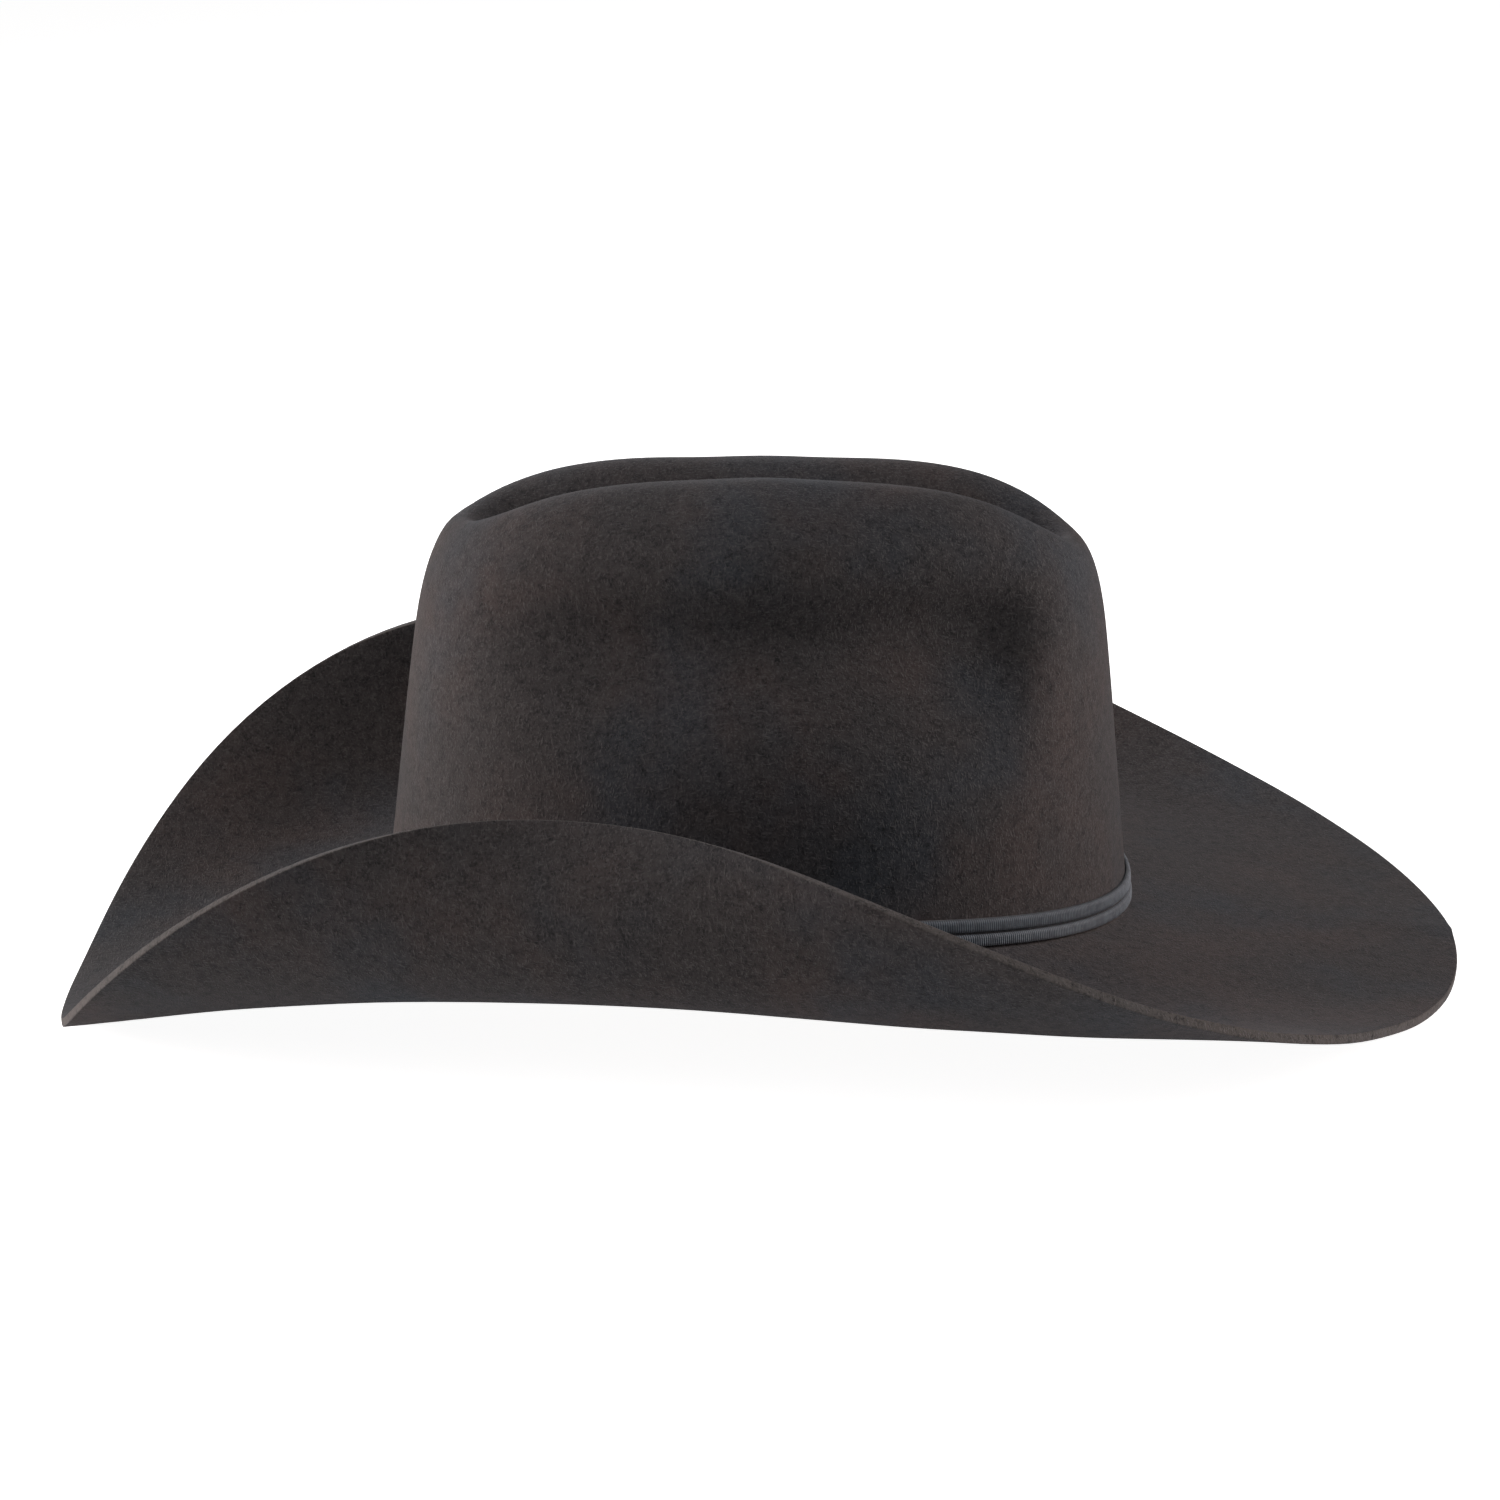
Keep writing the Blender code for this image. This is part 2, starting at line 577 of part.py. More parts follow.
def lining(satin, piping, plastic, thread, parent):
    """Side wall and top of the lining, the piping over their seam, and the clear cover of the top."""
    start = math.asin(LINING_LOW / CROWN_HEIGHT) / (math.pi / 2)
    seam = TURNS[LINING_SEAM_ROW]
    half_gap = GAP / CROWN_HEIGHT
    between = TURNS[(TURNS > start + half_gap) & (TURNS < seam)]
    side_turns = np.concatenate([[start], between, [seam - half_gap]])
    faces = layer_rows(side_turns, LINING_OUTER), layer_rows(side_turns, LINING_INNER)[::-1]
    sweep("lining_side", np.concatenate(faces), satin, parent)
    tip_turns = np.concatenate([[seam + half_gap], TURNS[LINING_SEAM_ROW + 1:]])
    top_layer("lining_tip", tip_turns, LINING_OUTER, SATIN, satin, parent)
    piping_depth = LINING_INNER + GAP + PIPING_RADIUS
    ring_in_crown("lining_piping", seam, piping_depth, PIPING_RADIUS, PIPING_SIDES, piping, parent)
    cover_depth = LINING_INNER + COVER_PLAY
    top_layer("tip_protector", TURNS[PROTECTOR_ROW:], cover_depth, PLASTIC, plastic, parent)
    stitch_depth = cover_depth + PLASTIC + GAP + THREAD / 2
    stitch_turn = TURNS[PROTECTOR_ROW] + half_gap
    ring_in_crown("tip_protector_stitch", stitch_turn, stitch_depth, THREAD / 2, STITCH_SIDES,
                  thread, parent)


def world_points(made):
    """Vertices of an object's finished mesh, in world space."""
    bpy.context.view_layer.update()
    finished = made.evaluated_get(bpy.context.evaluated_depsgraph_get())
    mesh = finished.to_mesh()
    points = np.empty(len(mesh.vertices) * 3)
    mesh.vertices.foreach_get("co", points)
    finished.to_mesh_clear()
    points = points.reshape(-1, 3)
    matrix = np.array(made.matrix_world)
    return points @ matrix[:3, :3].T + matrix[:3, 3]


def set_down(parent, felt):
    """Tilt the hat until the front and back of its brim touch the ground, and centre it there."""
    for _ in range(SETTLE_STEPS):
        points = world_points(felt)
        front, back = points[points[:, 0] > 0], points[points[:, 0] < 0]
        low_front, low_back = front[front[:, 2].argmin()], back[back[:, 2].argmin()]
        parent.rotation_euler.y += math.atan2(low_front[2] - low_back[2], low_front[0] - low_back[0])
    points = world_points(felt)
    low, high = points.min(axis=0), points.max(axis=0)
    parent.location = (-(low[0] + high[0]) / 2, -(low[1] + high[1]) / 2, -low[2])


def main():
    """Build the whole hat."""
    for old in list(bpy.data.objects):
        bpy.data.objects.remove(old, do_unlink=True)
    root = bpy.data.objects.new("hat", None)
    bpy.context.scene.collection.objects.link(root)
    felt = material("dark_brown_felt", (0.048, 0.034, 0.030), 0.95)
    ribbon = material("slate_ribbon", (0.085, 0.095, 0.110), 0.80)
    dark = material("dark_thread", (0.020, 0.022, 0.030), 0.90)
    leather = material("tan_leather", (0.300, 0.160, 0.080), 0.55)
    satin = material("brown_satin", (0.080, 0.045, 0.030), 0.45)
    clear = material("clear_plastic", (0.900, 0.900, 0.880), 0.10, alpha=0.35)
    white = material("white_plastic", (0.700, 0.690, 0.650), 0.45)
    cotton = material("cotton_tape", (0.180, 0.120, 0.090), 0.85)
    paper = material("label_paper", (0.750, 0.720, 0.640), 0.80)
    body = felt_body(felt, root)
    band_top = hatband(ribbon, dark, root)
    side_bow(ribbon, root, band_top)
    sweatband(leather, root)
    reed_top = reed_and_tape(cotton, white, cotton, root)
    back_seam(cotton, cotton, ribbon, root, reed_top)
    size_label(paper, root, reed_top)
    lining(satin, ribbon, clear, dark, root)
    set_down(root, body)


main()
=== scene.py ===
"""Finish for a western felt hat: felt body, ribbed band, side bow, leather sweatband and satin lining.

Laid out as an add-on and run as a script.  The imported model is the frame: every piece made here
takes the place of one of its nodes.  The felt and every layer of trim come from the same two
formulas, one for the crown and one for the brim, so they lie on each other as the real layers do.
"""
import math
from functools import cache, cached_property

import bpy
import numpy as np
from bpy.props import FloatProperty, FloatVectorProperty, IntProperty, PointerProperty
from bpy.types import Operator, Panel, PropertyGroup
from mathutils import Matrix, Vector


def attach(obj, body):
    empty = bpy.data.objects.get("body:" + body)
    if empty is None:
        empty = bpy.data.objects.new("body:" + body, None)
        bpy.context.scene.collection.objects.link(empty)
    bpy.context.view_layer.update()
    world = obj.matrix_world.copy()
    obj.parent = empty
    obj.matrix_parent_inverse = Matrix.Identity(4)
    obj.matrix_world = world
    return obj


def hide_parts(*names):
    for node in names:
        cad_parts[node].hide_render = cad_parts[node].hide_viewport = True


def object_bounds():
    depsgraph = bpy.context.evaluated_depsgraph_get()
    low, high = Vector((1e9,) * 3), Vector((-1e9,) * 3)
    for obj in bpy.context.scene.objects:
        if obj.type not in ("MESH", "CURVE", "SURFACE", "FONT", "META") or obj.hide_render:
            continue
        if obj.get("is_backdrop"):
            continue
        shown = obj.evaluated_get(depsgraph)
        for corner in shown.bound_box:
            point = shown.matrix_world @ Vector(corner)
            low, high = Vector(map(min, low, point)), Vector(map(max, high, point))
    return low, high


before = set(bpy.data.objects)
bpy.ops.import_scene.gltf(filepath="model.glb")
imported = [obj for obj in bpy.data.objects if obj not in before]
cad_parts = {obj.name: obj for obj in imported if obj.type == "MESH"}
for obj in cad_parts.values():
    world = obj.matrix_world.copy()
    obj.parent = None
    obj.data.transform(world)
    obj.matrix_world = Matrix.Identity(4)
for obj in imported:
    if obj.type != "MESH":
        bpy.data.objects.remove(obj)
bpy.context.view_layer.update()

bl_info = {
    "name": "Western Felt Hat",
    "version": (1, 0, 0),
    "blender": (4, 5, 0),
    "location": "3D View > Sidebar > Hat",
    "description": "Makes a creased felt hat with its band, bow, sweatband and lining",
    "category": "Add Mesh",
}

LEFT = math.pi / 2
BACK = math.pi
UP = np.array([0.0, 0.0, 1.0])

# Points round the head: to measure a length, for the lining, and to choose the places of stitches
FINE_STEPS = 4001
LINING_STEPS = 360
STITCH_STEPS = 3600
# Half the turn over which a slope is measured, and the turn of the last row before a pole
TURN_PROBE = 0.004
NEAR_TOP = 0.995
LINING_END = 0.985
# Turn that a layer keeps clear of a seam, and a number small enough to stand for none
SEAM_TURN = 0.0012
NEAR_ZERO = 1e-6
# Points over the felt's cut edge, over the fold of the reed tape, and along the tape and the leather
EDGE_POINTS = 9
FOLD_POINTS = 7
TAPE_COLUMNS = 300
SWEATBAND_COLUMNS = 361
# Points round and along a bow's knot, round a loop and along a tail
KNOT_SIDES = 32
KNOT_COLUMNS = 13
LOOP_SIDES = 64
TAIL_COLUMNS = 25
# Rows of the lining's wall, its top and the clear cover, pleats of the wall and folds of the top
WALL_ROWS = 44
TOP_ROWS = 34
COVER_ROWS = 20
PLEATS = 34
TOP_FOLDS = 9
# A stitch: places of its rings along it, its sides, and the size of one face on its UV map
STITCH_RINGS = np.array([-0.97, -0.8, -0.45, 0.0, 0.45, 0.8, 0.97])
STITCH_SIDES = 6
STITCH_UV = 0.0004
# Corners of the zigzag over the sweatband's seam
SEAM_CORNERS = 19
# A strand of the two-ply thread: its sides, its points per twist, and its radius and its distance
# from the thread's middle as shares of the thread
THREAD_SIDES = 6
TWIST_POINTS = 8
STRAND_RADIUS = 0.26
STRAND_SHIFT = 0.24
# Points round the band for each rib, and the heights of a bow's rows as shares of its width
POINTS_PER_RIB = 4
RIBBON_HEIGHTS = np.array([0.0, 0.04, 0.25, 0.5, 0.75, 0.96, 1.0])[:, None]
# Size of the floor, its distance under the hat, and the point that every light looks at
FLOOR_RADIUS = 9.0
FLOOR_SIDES = 96
FLOOR_GAP = 0.0001
LIGHTS_AIM = Vector((0.0, 0.0, 0.08))


# Settings ---------------------------------------------------------------------------------------


def length(name, default, description):
    """A size in metres."""
    return FloatProperty(name=name, description=description, default=default, unit="LENGTH",
                         precision=4)


def turn_by(name, degrees, description):
    """An angle, given in degrees."""
    return FloatProperty(name=name, description=description, default=math.radians(degrees),
                         unit="ROTATION", precision=3)


def share(name, default, description):
    """A plain number."""
    return FloatProperty(name=name, description=description, default=default, precision=3)


def power(name, default, description):
    """Strength of a light, in watts."""
    return FloatProperty(name=name, description=description, default=default, unit="POWER")


def colour(name, default, description):
    """A surface colour."""
    return FloatVectorProperty(name=name, description=description, default=default,
                               subtype="COLOR", size=3, min=0.0, max=1.0)


class HatBlockSizes(PropertyGroup):
    """Sizes of the block that shapes the felt."""

    half_length: length("Half length", 0.1060, "From the crown's middle to its outer face at the front")
    half_width: length("Half width", 0.0880, "From the crown's middle to its outer face at the side")
    felt: length("Felt", 0.0026, "Thickness of the felt")
    crown_height: length("Crown height", 0.1248, "From the break to the top, before the crease")
    crown_taper: share("Crown taper", 0.122, "Share by which the crown narrows up to its top")
    side_squareness: share("Side squareness", 3.39, "Power of the crown's section at the sides")
    end_squareness: share("End squareness", 8.22, "Power of the crown's section at front and back")
    forward_lean: length("Forward lean", 0.0009, "How far the top stands forward")
    top_fall: length("Top fall", 0.0069, "Drop of the top at each end")
    top_fall_reach: length("Top fall reach", 0.090, "Distance from the middle at which it has dropped")
    ridge_place: length("Ridge place", 0.035, "Distance of each ridge from the crease")
    ridge_difference: length("Ridge difference", 0.0044, "How far each ridge differs from the mean")
    ridge_arch: share("Ridge arch", 0.53, "How much less the far ridge falls than the near one")
    lift_reach: share("Lift reach", 0.77, "Share of the height over which the break's rise fades")
    top_start: share("Top start", 0.60, "Share of the height from which the top falls")
    crease_start: share("Crease start", 0.55, "Share of the height from which the crease cuts in")
    top_run: share("Top run", 0.40, "Share of the height over which both reach their full size")
    side_lift: length("Side lift", 0.0097, "Rise of the break at the sides")
    front_lift: length("Front lift", -0.0024, "Rise of the break at the front")
    crease_depth: length("Crease depth", 0.0231, "Depth of the centre crease")
    crease_half_width: length("Crease half width", 0.0162, "Half width of the centre crease")
    crease_back: length("Crease back", -0.0762, "Place of the crease's back end")
    crease_front: length("Crease front", 0.0822, "Place of the crease's front end")
    crease_end_run: length("Crease end run", 0.0280, "Length over which each end slopes")
    dent_depth: length("Dent depth", 0.0140, "Depth of the dent in each side")
    dent_height: length("Dent height", 0.0860, "Height of the deepest line of each dent")
    dent_run_up: length("Dent run up", 0.0160, "Reach of the dent above that line")
    dent_run_down: length("Dent run down", 0.0240, "Reach of the dent below that line")
    dent_back_length: length("Dent back length", 0.0680, "Length of each dent behind its middle")
    dent_front_length: length("Dent front length", 0.0720, "Length of each dent before its middle")
    dent_back_sharpness: share("Dent back sharpness", 4.0, "How suddenly the dent ends at the back")
    dent_front_sharpness: share("Dent front sharpness", 9.0, "How suddenly it ends at the front")
    dent_forward_gain: share("Dent forward gain", 0.25, "How much deeper the dent's front end is")
    dent_turn: share("Dent turn", 0.625, "Sine of the angle from which the dent is full")
    dent_limit: share("Dent limit", 0.8, "Largest share of the width that a dent takes")
    top_reach: share("Top reach", 0.40, "Share of the oval's radius within which there is no dent")
    top_reach_run: share("Top reach run", 0.30, "Share over which the dent comes in")
    brim_width: length("Brim width", 0.0937, "Mean width of the flat felt from break to cut edge")
    brim_end_extra: length("Brim end extra", 0.0058, "Extra width at both ends, taken off the sides")
    brim_front_extra: length("Brim front extra", -0.0020, "Extra width at the front only")
    brim_diagonal_extra: length("Brim diagonal extra", 0.0017, "Extra width at the four corners")
    brim_three_way_extra: length("Brim three-way extra", 0.0013, "Width taken off at the front")
    slope_side: turn_by("Slope, side", -22.8, "Slope of the brim where it leaves the side")
    slope_front: turn_by("Slope, front", -8.4, "Slope of the brim where it leaves the front")
    slope_back: turn_by("Slope, back", -33.4, "Slope of the brim where it leaves the back")
    curl_side: turn_by("Curl, side", 127.8, "Turn of the brim's section at the side")
    curl_front: turn_by("Curl, front", 3.5, "Turn of the brim's section at the front")
    curl_back: turn_by("Curl, back", 24.8, "Turn of the brim's section at the back")
    curl_to_back: share("Curl to back", 0.99, "How much the side curl grows towards the back")
    curl_spread: share("Curl spread", 0.63, "How narrow the curled part of the side is")
    curl_spread_front: share("Curl spread, front", -0.47, "How much wider it is towards the front")
    rest_tilt: turn_by("Rest tilt", 2.7906, "Lean of the hat as it stands on the brim's front and back")
    rest_forward: length("Rest forward", 0.000876, "Place of the crown's middle along the hat")
    rest_height: length("Rest height", 0.026263, "Height of the break's middle above the ground")
    unevenness: length("Unevenness", 0.00022, "How far the blocked felt strays from its formula")
    edge_round: length("Edge round", 0.0004, "How far the cut edge bulges")
    edge_power: share("Edge power", 0.55, "How square the cut edge's section is: 1 is a half round")
    angle_steps: IntProperty(name="Angle steps", description="Points round the felt", default=240)
    brim_steps: IntProperty(name="Brim steps", description="Rows over the brim", default=56)
    crown_steps: IntProperty(name="Crown steps", description="Rows over the crown", default=92)


class HatTrimSizes(PropertyGroup):
    """Sizes of the band, the bow, the sweatband and the lining."""

    gap: length("Gap", 0.0003, "Space between two layers")
    row_low: length("Band foot", 0.0005, "Height of the band's foot above the break")
    lower_row: length("Lower row", 0.0032, "Height of the band's lower row")
    upper_row: length("Upper row", 0.0036, "Height of the band's upper row")
    row_thickness: length("Row thickness", 0.0013, "Thickness of each row of the band")
    groove_cover: length("Groove cover", 0.0004, "How far each row reaches over the thread's groove")
    rib_pitch: length("Rib pitch", 0.00070, "Distance from one rib of the band to the next")
    rib_depth: length("Rib depth", 0.00022, "Height of each rib")
    thread: length("Thread", 0.0006, "Diameter of the sewing thread")
    twist_pitch: length("Twist pitch", 0.0016, "Length of one full twist of the thread")
    ribbon: length("Ribbon", 0.0006, "Thickness of the bow's ribbon")
    knot_width: length("Knot width", 0.0090, "Width of the bow's knot")
    knot_depth: length("Knot depth", 0.0034, "How far the knot stands out")
    loop_length: length("Loop length", 0.0250, "Length of each loop of the bow")
    loop_depth: length("Loop depth", 0.0026, "How far each loop stands out")
    tail_length: length("Tail length", 0.0310, "Length of each tail of the bow")
    tail_slant: length("Tail slant", 0.0040, "How far the tails' ends are cut back")
    band_low: length("Sweatband foot", -0.0020, "Height of the sweatband's foot")
    band_height: length("Sweatband height", 0.0500, "Height of the sweatband")
    sewn_groove: length("Sewn groove", 0.00025, "Depth of the groove along the sweatband's foot")
    leather_give: length("Leather give", 0.0004, "How far the sweatband gives inwards")
    band_outer: length("Sweatband outer", 0.0054, "Depth of the sweatband's outer face")
    leather: length("Leather", 0.0010, "Thickness of the sweatband")
    back_seam: length("Back seam", 0.0006, "Space between the sweatband's two ends")
    tape: length("Tape", 0.0004, "Thickness of the reed tape")
    tape_outer: length("Tape outer", 0.0029, "Depth of the reed tape's outer fold")
    tape_inner: length("Tape inner", 0.0047, "Depth of the reed tape's inner fold")
    tape_low: length("Tape foot", -0.0015, "Height of the reed tape's foot")
    tape_height: length("Tape height", 0.0095, "Height of the reed tape")
    reed_stitch_pitch: length("Reed stitch pitch", 0.0042, "Distance between two stitches of the reed")
    cover_stitch_pitch: length("Cover stitch pitch", 0.0046, "Distance between two of the cover")
    seam_stitch_width: length("Seam stitch width", 0.0060, "Width of the zigzag over the seam")
    back_bow_height: length("Back bow height", 0.0060, "Width of the small bow's ribbon")
    back_bow_length: length("Back bow length", 0.0110, "Length of each loop of the small bow")
    back_bow_knot: length("Back bow knot", 0.0034, "Width of the small bow's knot")
    trim_play: length("Trim play", 0.0006, "Space between the leather and the trim on it")
    lining_low: length("Lining foot", 0.0100, "Height at which the lining starts")
    lining_depth: length("Lining depth", 0.0038, "Depth of the lining behind the crown's face")
    satin: length("Satin", 0.0005, "Thickness of the lining with its backing")
    lining_mean_radius: length("Lining mean radius", 0.094, "Mean radius of the lining's wall")
    lining_top_length: length("Lining top length", 0.150, "Length of the flat oval of the top")
    lining_top_width: length("Lining top width", 0.116, "Width of the flat oval of the top")
    pleat_depth: length("Pleat depth", 0.0014, "Depth of the soft pleats of the lining's wall")
    lining_seam: share("Lining seam", 7 / 12, "Turn of the crown at which the lining's top begins")
    cover_edge: share("Cover edge", 9 / 12, "Turn of the crown at which the clear cover begins")
    cover_play: length("Cover play", 0.0010, "Space between the lining and the clear cover")
    cover: length("Cover", 0.0004, "Thickness of the clear cover")
    piping: length("Piping", 0.0008, "Radius of the piping")


class HatColours(PropertyGroup):
    """Colours of the finishes."""

    felt: colour("Felt", (0.042, 0.036, 0.035), "Main colour of the felt")
    felt_warm: colour("Felt, warm", (0.060, 0.043, 0.039), "Reddish patches of the felt")
    felt_cool: colour("Felt, cool", (0.033, 0.038, 0.045), "Bluish patches of the felt")
    felt_fibre: colour("Felt fibre", (0.145, 0.132, 0.128), "Light hairs on the felt")
    felt_edge: colour("Felt edge", (0.120, 0.104, 0.094), "Raw felt of the cut edge")
    ribbon: colour("Ribbon", (0.160, 0.182, 0.210), "Ribs of the band and the bow")
    # Painted shade: the valleys between the ribs and the edges of the band's rows take this darker
    # colour; worn spots take it too
    ribbon_shade_and_wear: colour("Ribbon valley", (0.026, 0.031, 0.039), "Valleys between the ribs")
    thread: colour("Thread", (0.010, 0.011, 0.015), "Thread between the rows of the band")
    leather: colour("Leather", (0.270, 0.130, 0.058), "Sweatband")
    leather_dark: colour("Leather, dark", (0.120, 0.052, 0.022), "Creases of the sweatband")
    satin: colour("Satin", (0.075, 0.042, 0.028), "Lining")
    cotton: colour("Cotton", (0.180, 0.120, 0.085), "Tapes and inside thread")
    plastic: colour("Plastic", (0.700, 0.690, 0.650), "Reed")
    paper: colour("Paper", (0.740, 0.710, 0.640), "Size label")
    floor: colour("Floor", (0.900, 0.900, 0.900), "Floor under the hat")


class HatStageSettings(PropertyGroup):
    """Camera, lights and floor."""

    camera_place: FloatVectorProperty(name="Camera place", description="Place of the camera",
                                      default=(0.0210, -1.3000, 0.4546), subtype="TRANSLATION", size=3)
    camera_aim: FloatVectorProperty(name="Camera aim", description="Point the camera looks at",
                                    default=(0.0004, 0.0, 0.0660), subtype="TRANSLATION", size=3)
    camera_lean: turn_by("Camera lean", 2.66, "Lean of the camera to its right")
    lens: FloatProperty(name="Lens", description="Focal length in millimetres", default=114.12)
    light_reach: length("Light reach", 1.4, "Distance of every light from the hat")
    light_width: length("Light width", 0.7, "Width of every light")
    left_power: power("Left power", 20.0, "Strength of the warm light on the left")
    right_power: power("Right power", 11.5, "Strength of the light on the right")
    left_back_power: power("Left back power", 4.3, "Strength of the light left of the one behind")
    back_power: power("Back power", 1.8, "Strength of the light behind the hat")
    front_power: power("Front power", 6.7, "Strength of the cool light in front")
    floor_glow: share("Floor glow", 0.14, "Light that the floor gives to the hat")
    floor_white: share("Floor white", 0.94, "Brightness of the floor itself")


# Shape ------------------------------------------------------------------------------------------


def smooth(x):
    """Rise from 0 to 1 with level ends: three squares less two cubes."""
    x = np.clip(x, 0.0, 1.0)
    return x * x * (3.0 - 2.0 * x)


class HatBlock:
    """Crown and brim as formulas of the angle round the head: 0 at the front, a quarter at the left."""

    def __init__(self, sizes):
        self.size = sizes

    def outward(self, angle):
        """Level unit vector square to the oval of the head."""
        x = np.cos(angle) / self.size.half_length
        y = np.sin(angle) / self.size.half_width
        reach = np.hypot(x, y)
        return np.stack([x / reach, y / reach, 0.0 * x], axis=-1)

    def squareness(self, angle):
        """Power of the crown's section: the side's, plus its gain times the cosine's fourth power."""
        gain = self.size.end_squareness - self.size.side_squareness
        return self.size.side_squareness + gain * np.cos(angle) ** 4

    def crease(self, x, y):
        """Depth of the centre crease: a bell across, times a smooth slope at each end."""
        size = self.size
        back_end = smooth((x - size.crease_back) / size.crease_end_run + 0.5)
        front_end = smooth((size.crease_front - x) / size.crease_end_run + 0.5)
        return size.crease_depth * back_end * front_end * np.exp(-(y / size.crease_half_width) ** 2)

    def side_dent(self, x, z):
        """Depth of a side's dent: a bell upwards, wider below; along, deeper and sharper in front."""
        size = self.size
        run = np.where(z > size.dent_height, size.dent_run_up, size.dent_run_down)
        upwards = np.exp(-((z - size.dent_height) / run) ** 2)
        back = np.exp(-np.abs(x / size.dent_back_length) ** size.dent_back_sharpness)
        front = np.exp(-np.abs(x / size.dent_front_length) ** size.dent_front_sharpness)
        along = np.where(x < 0, back, front)
        along = along * (1.0 + size.dent_forward_gain * x / size.dent_front_length)
        return size.dent_depth * upwards * along

    def crown(self, angle, reach, rise):
        """Crown's face at a share of the oval's radius and a share of the height.

        An oval cone that narrows upwards and leans forward; its foot lifts at the sides, its top
        falls towards both ends and to the near side, and the crease and the dents are taken off.
        """
        size = self.size
        narrowing = 1.0 - size.crown_taper * rise
        x = size.half_length * reach * narrowing * np.cos(angle) + size.forward_lean * rise
        y = size.half_width * reach * narrowing * np.sin(angle)
        lift = size.side_lift * np.sin(angle) ** 2 + size.front_lift * np.cos(angle)
        z = size.crown_height * rise + lift * (1.0 - smooth(rise / size.lift_reach))
        side = np.clip(y / size.ridge_place, -1.0, 1.0)
        fall = size.top_fall * (1.0 - size.ridge_arch * side) * (x / size.top_fall_reach) ** 2
        z = z - (fall + size.ridge_difference * side) * smooth((rise - size.top_start) / size.top_run)
        z = z - self.crease(x, y) * smooth((rise - size.crease_start) / size.top_run)
        on_side = smooth(np.abs(np.sin(angle)) / size.dent_turn)
        on_side = on_side * smooth((reach - size.top_reach) / size.top_reach_run)
        y = y - np.sign(y) * np.minimum(self.side_dent(x, z) * on_side, size.dent_limit * np.abs(y))
        return np.stack([x, y, z], axis=-1)

    def crown_rows(self, turns, angles):
        """Rows of the crown's face, from turn 0 at the break to turn 1 at the centre of the top.

        Each section is a rounded square: the sum of both shares, each to the squareness, is one.
        """
        power = self.squareness(angles[None, :])
        quarter = np.asarray(turns)[:, None] * (math.pi / 2)
        across, up = np.maximum(np.cos(quarter), 0.0), np.sin(quarter)
        scale = (across ** power + up ** power) ** (-1.0 / power)
        return self.crown(angles[None, :], across * scale, up * scale)

    def wall(self, angle, height, depth):
        """Point of the crown's wall at a height above the break, moved level into the hat by depth."""
        angle = np.asarray(angle, dtype=float)
        rise = np.clip(height / self.size.crown_height, 0.0, 1.0)
        power = self.squareness(angle)
        point = self.crown(angle, (1.0 - rise ** power) ** (1.0 / power), rise + 0.0 * angle)
        point[..., 2] += np.minimum(height, 0.0)
        return point - np.asarray(depth)[..., None] * self.outward(angle)

    def layer_rows(self, turns, depth, angles):
        """Rows of a layer that follows the crown from inside, square to its face by depth."""
        turns, step = np.asarray(turns), TURN_PROBE
        face = self.crown_rows(turns, angles)
        along = self.crown_rows(turns, angles + step) - self.crown_rows(turns, angles - step)
        upwards = (self.crown_rows(turns + step, angles)
                   - self.crown_rows(np.maximum(turns - step, 0.0), angles))
        return face - np.asarray(depth)[..., None] * unit(np.cross(along, upwards))

    def brim_rows(self, angles, steps):
        """Rows of the brim's upper face from the break to its cut edge, and the section's direction.

        The section leaves the crown at its own slope and turns by its own curl, smoothly over its
        width.  Short steps along it are added up, which keeps the felt's width as bending does.
        """
        size = self.size
        cosine, sine = np.cos(angles), np.sin(angles)
        front, back = np.clip(cosine, 0, 1) ** 2, np.clip(-cosine, 0, 1) ** 2
        width = size.brim_width + size.brim_end_extra * np.cos(2 * angles)
        width = width + size.brim_front_extra * cosine
        width = width - size.brim_three_way_extra * np.cos(3 * angles)
        width = width - size.brim_diagonal_extra * np.cos(4 * angles)
        slope = size.slope_side * sine ** 2 + size.slope_front * front + size.slope_back * back
        spread = size.curl_spread + size.curl_spread_front * cosine
        side = (np.abs(sine) + NEAR_ZERO) ** (2 * spread)
        curl = size.curl_side * side * (1.0 - size.curl_to_back * cosine)
        curl = curl + (size.curl_front * front + size.curl_back * back) * (1.0 - side)
        tilt = slope + curl * smooth((np.arange(steps)[:, None] + 0.5) / steps)
        run = np.cumsum(np.cos(tilt) * width / steps, axis=0)
        lift = np.cumsum(np.sin(tilt) * width / steps, axis=0)
        out = self.outward(angles)
        rows = self.wall(angles, 0.0, 0.0) + run[..., None] * out + lift[..., None] * UP
        direction = np.cos(tilt)[..., None] * out + np.sin(tilt)[..., None] * UP
        return rows, direction

    def even_angles(self, count, start=0.0):
        """Angles that step evenly along the break: its running length, read backwards."""
        fine = start + np.linspace(0.0, 2 * math.pi, FINE_STEPS)
        run = running_length(self.wall(fine, 0.0, 0.0))
        return np.interp(np.arange(count) / count * run[-1], run, fine)

    def around(self):
        """Length of the break all the way round."""
        return running_length(self.wall(np.linspace(0.0, 2 * math.pi, FINE_STEPS), 0.0, 0.0))[-1]

    def beside(self, middle, half_axis, along, height, out):
        """Point by its distance along the wall from a middle angle, its height and its distance out."""
        along, height, out = np.broadcast_arrays(along, height, out)
        return self.wall(middle - along / half_axis, height, -out)

    def at_rest(self, points):
        """Points of the upright hat, leaned about the side-to-side axis and moved to where it stands."""
        turn = Matrix.Rotation(self.size.rest_tilt, 3, "Y")
        return points @ np.array(turn).T + np.array([self.size.rest_forward, 0.0, self.size.rest_height])


def unit(vectors):
    """Vectors of length one."""
    return vectors / np.linalg.norm(vectors, axis=-1, keepdims=True)


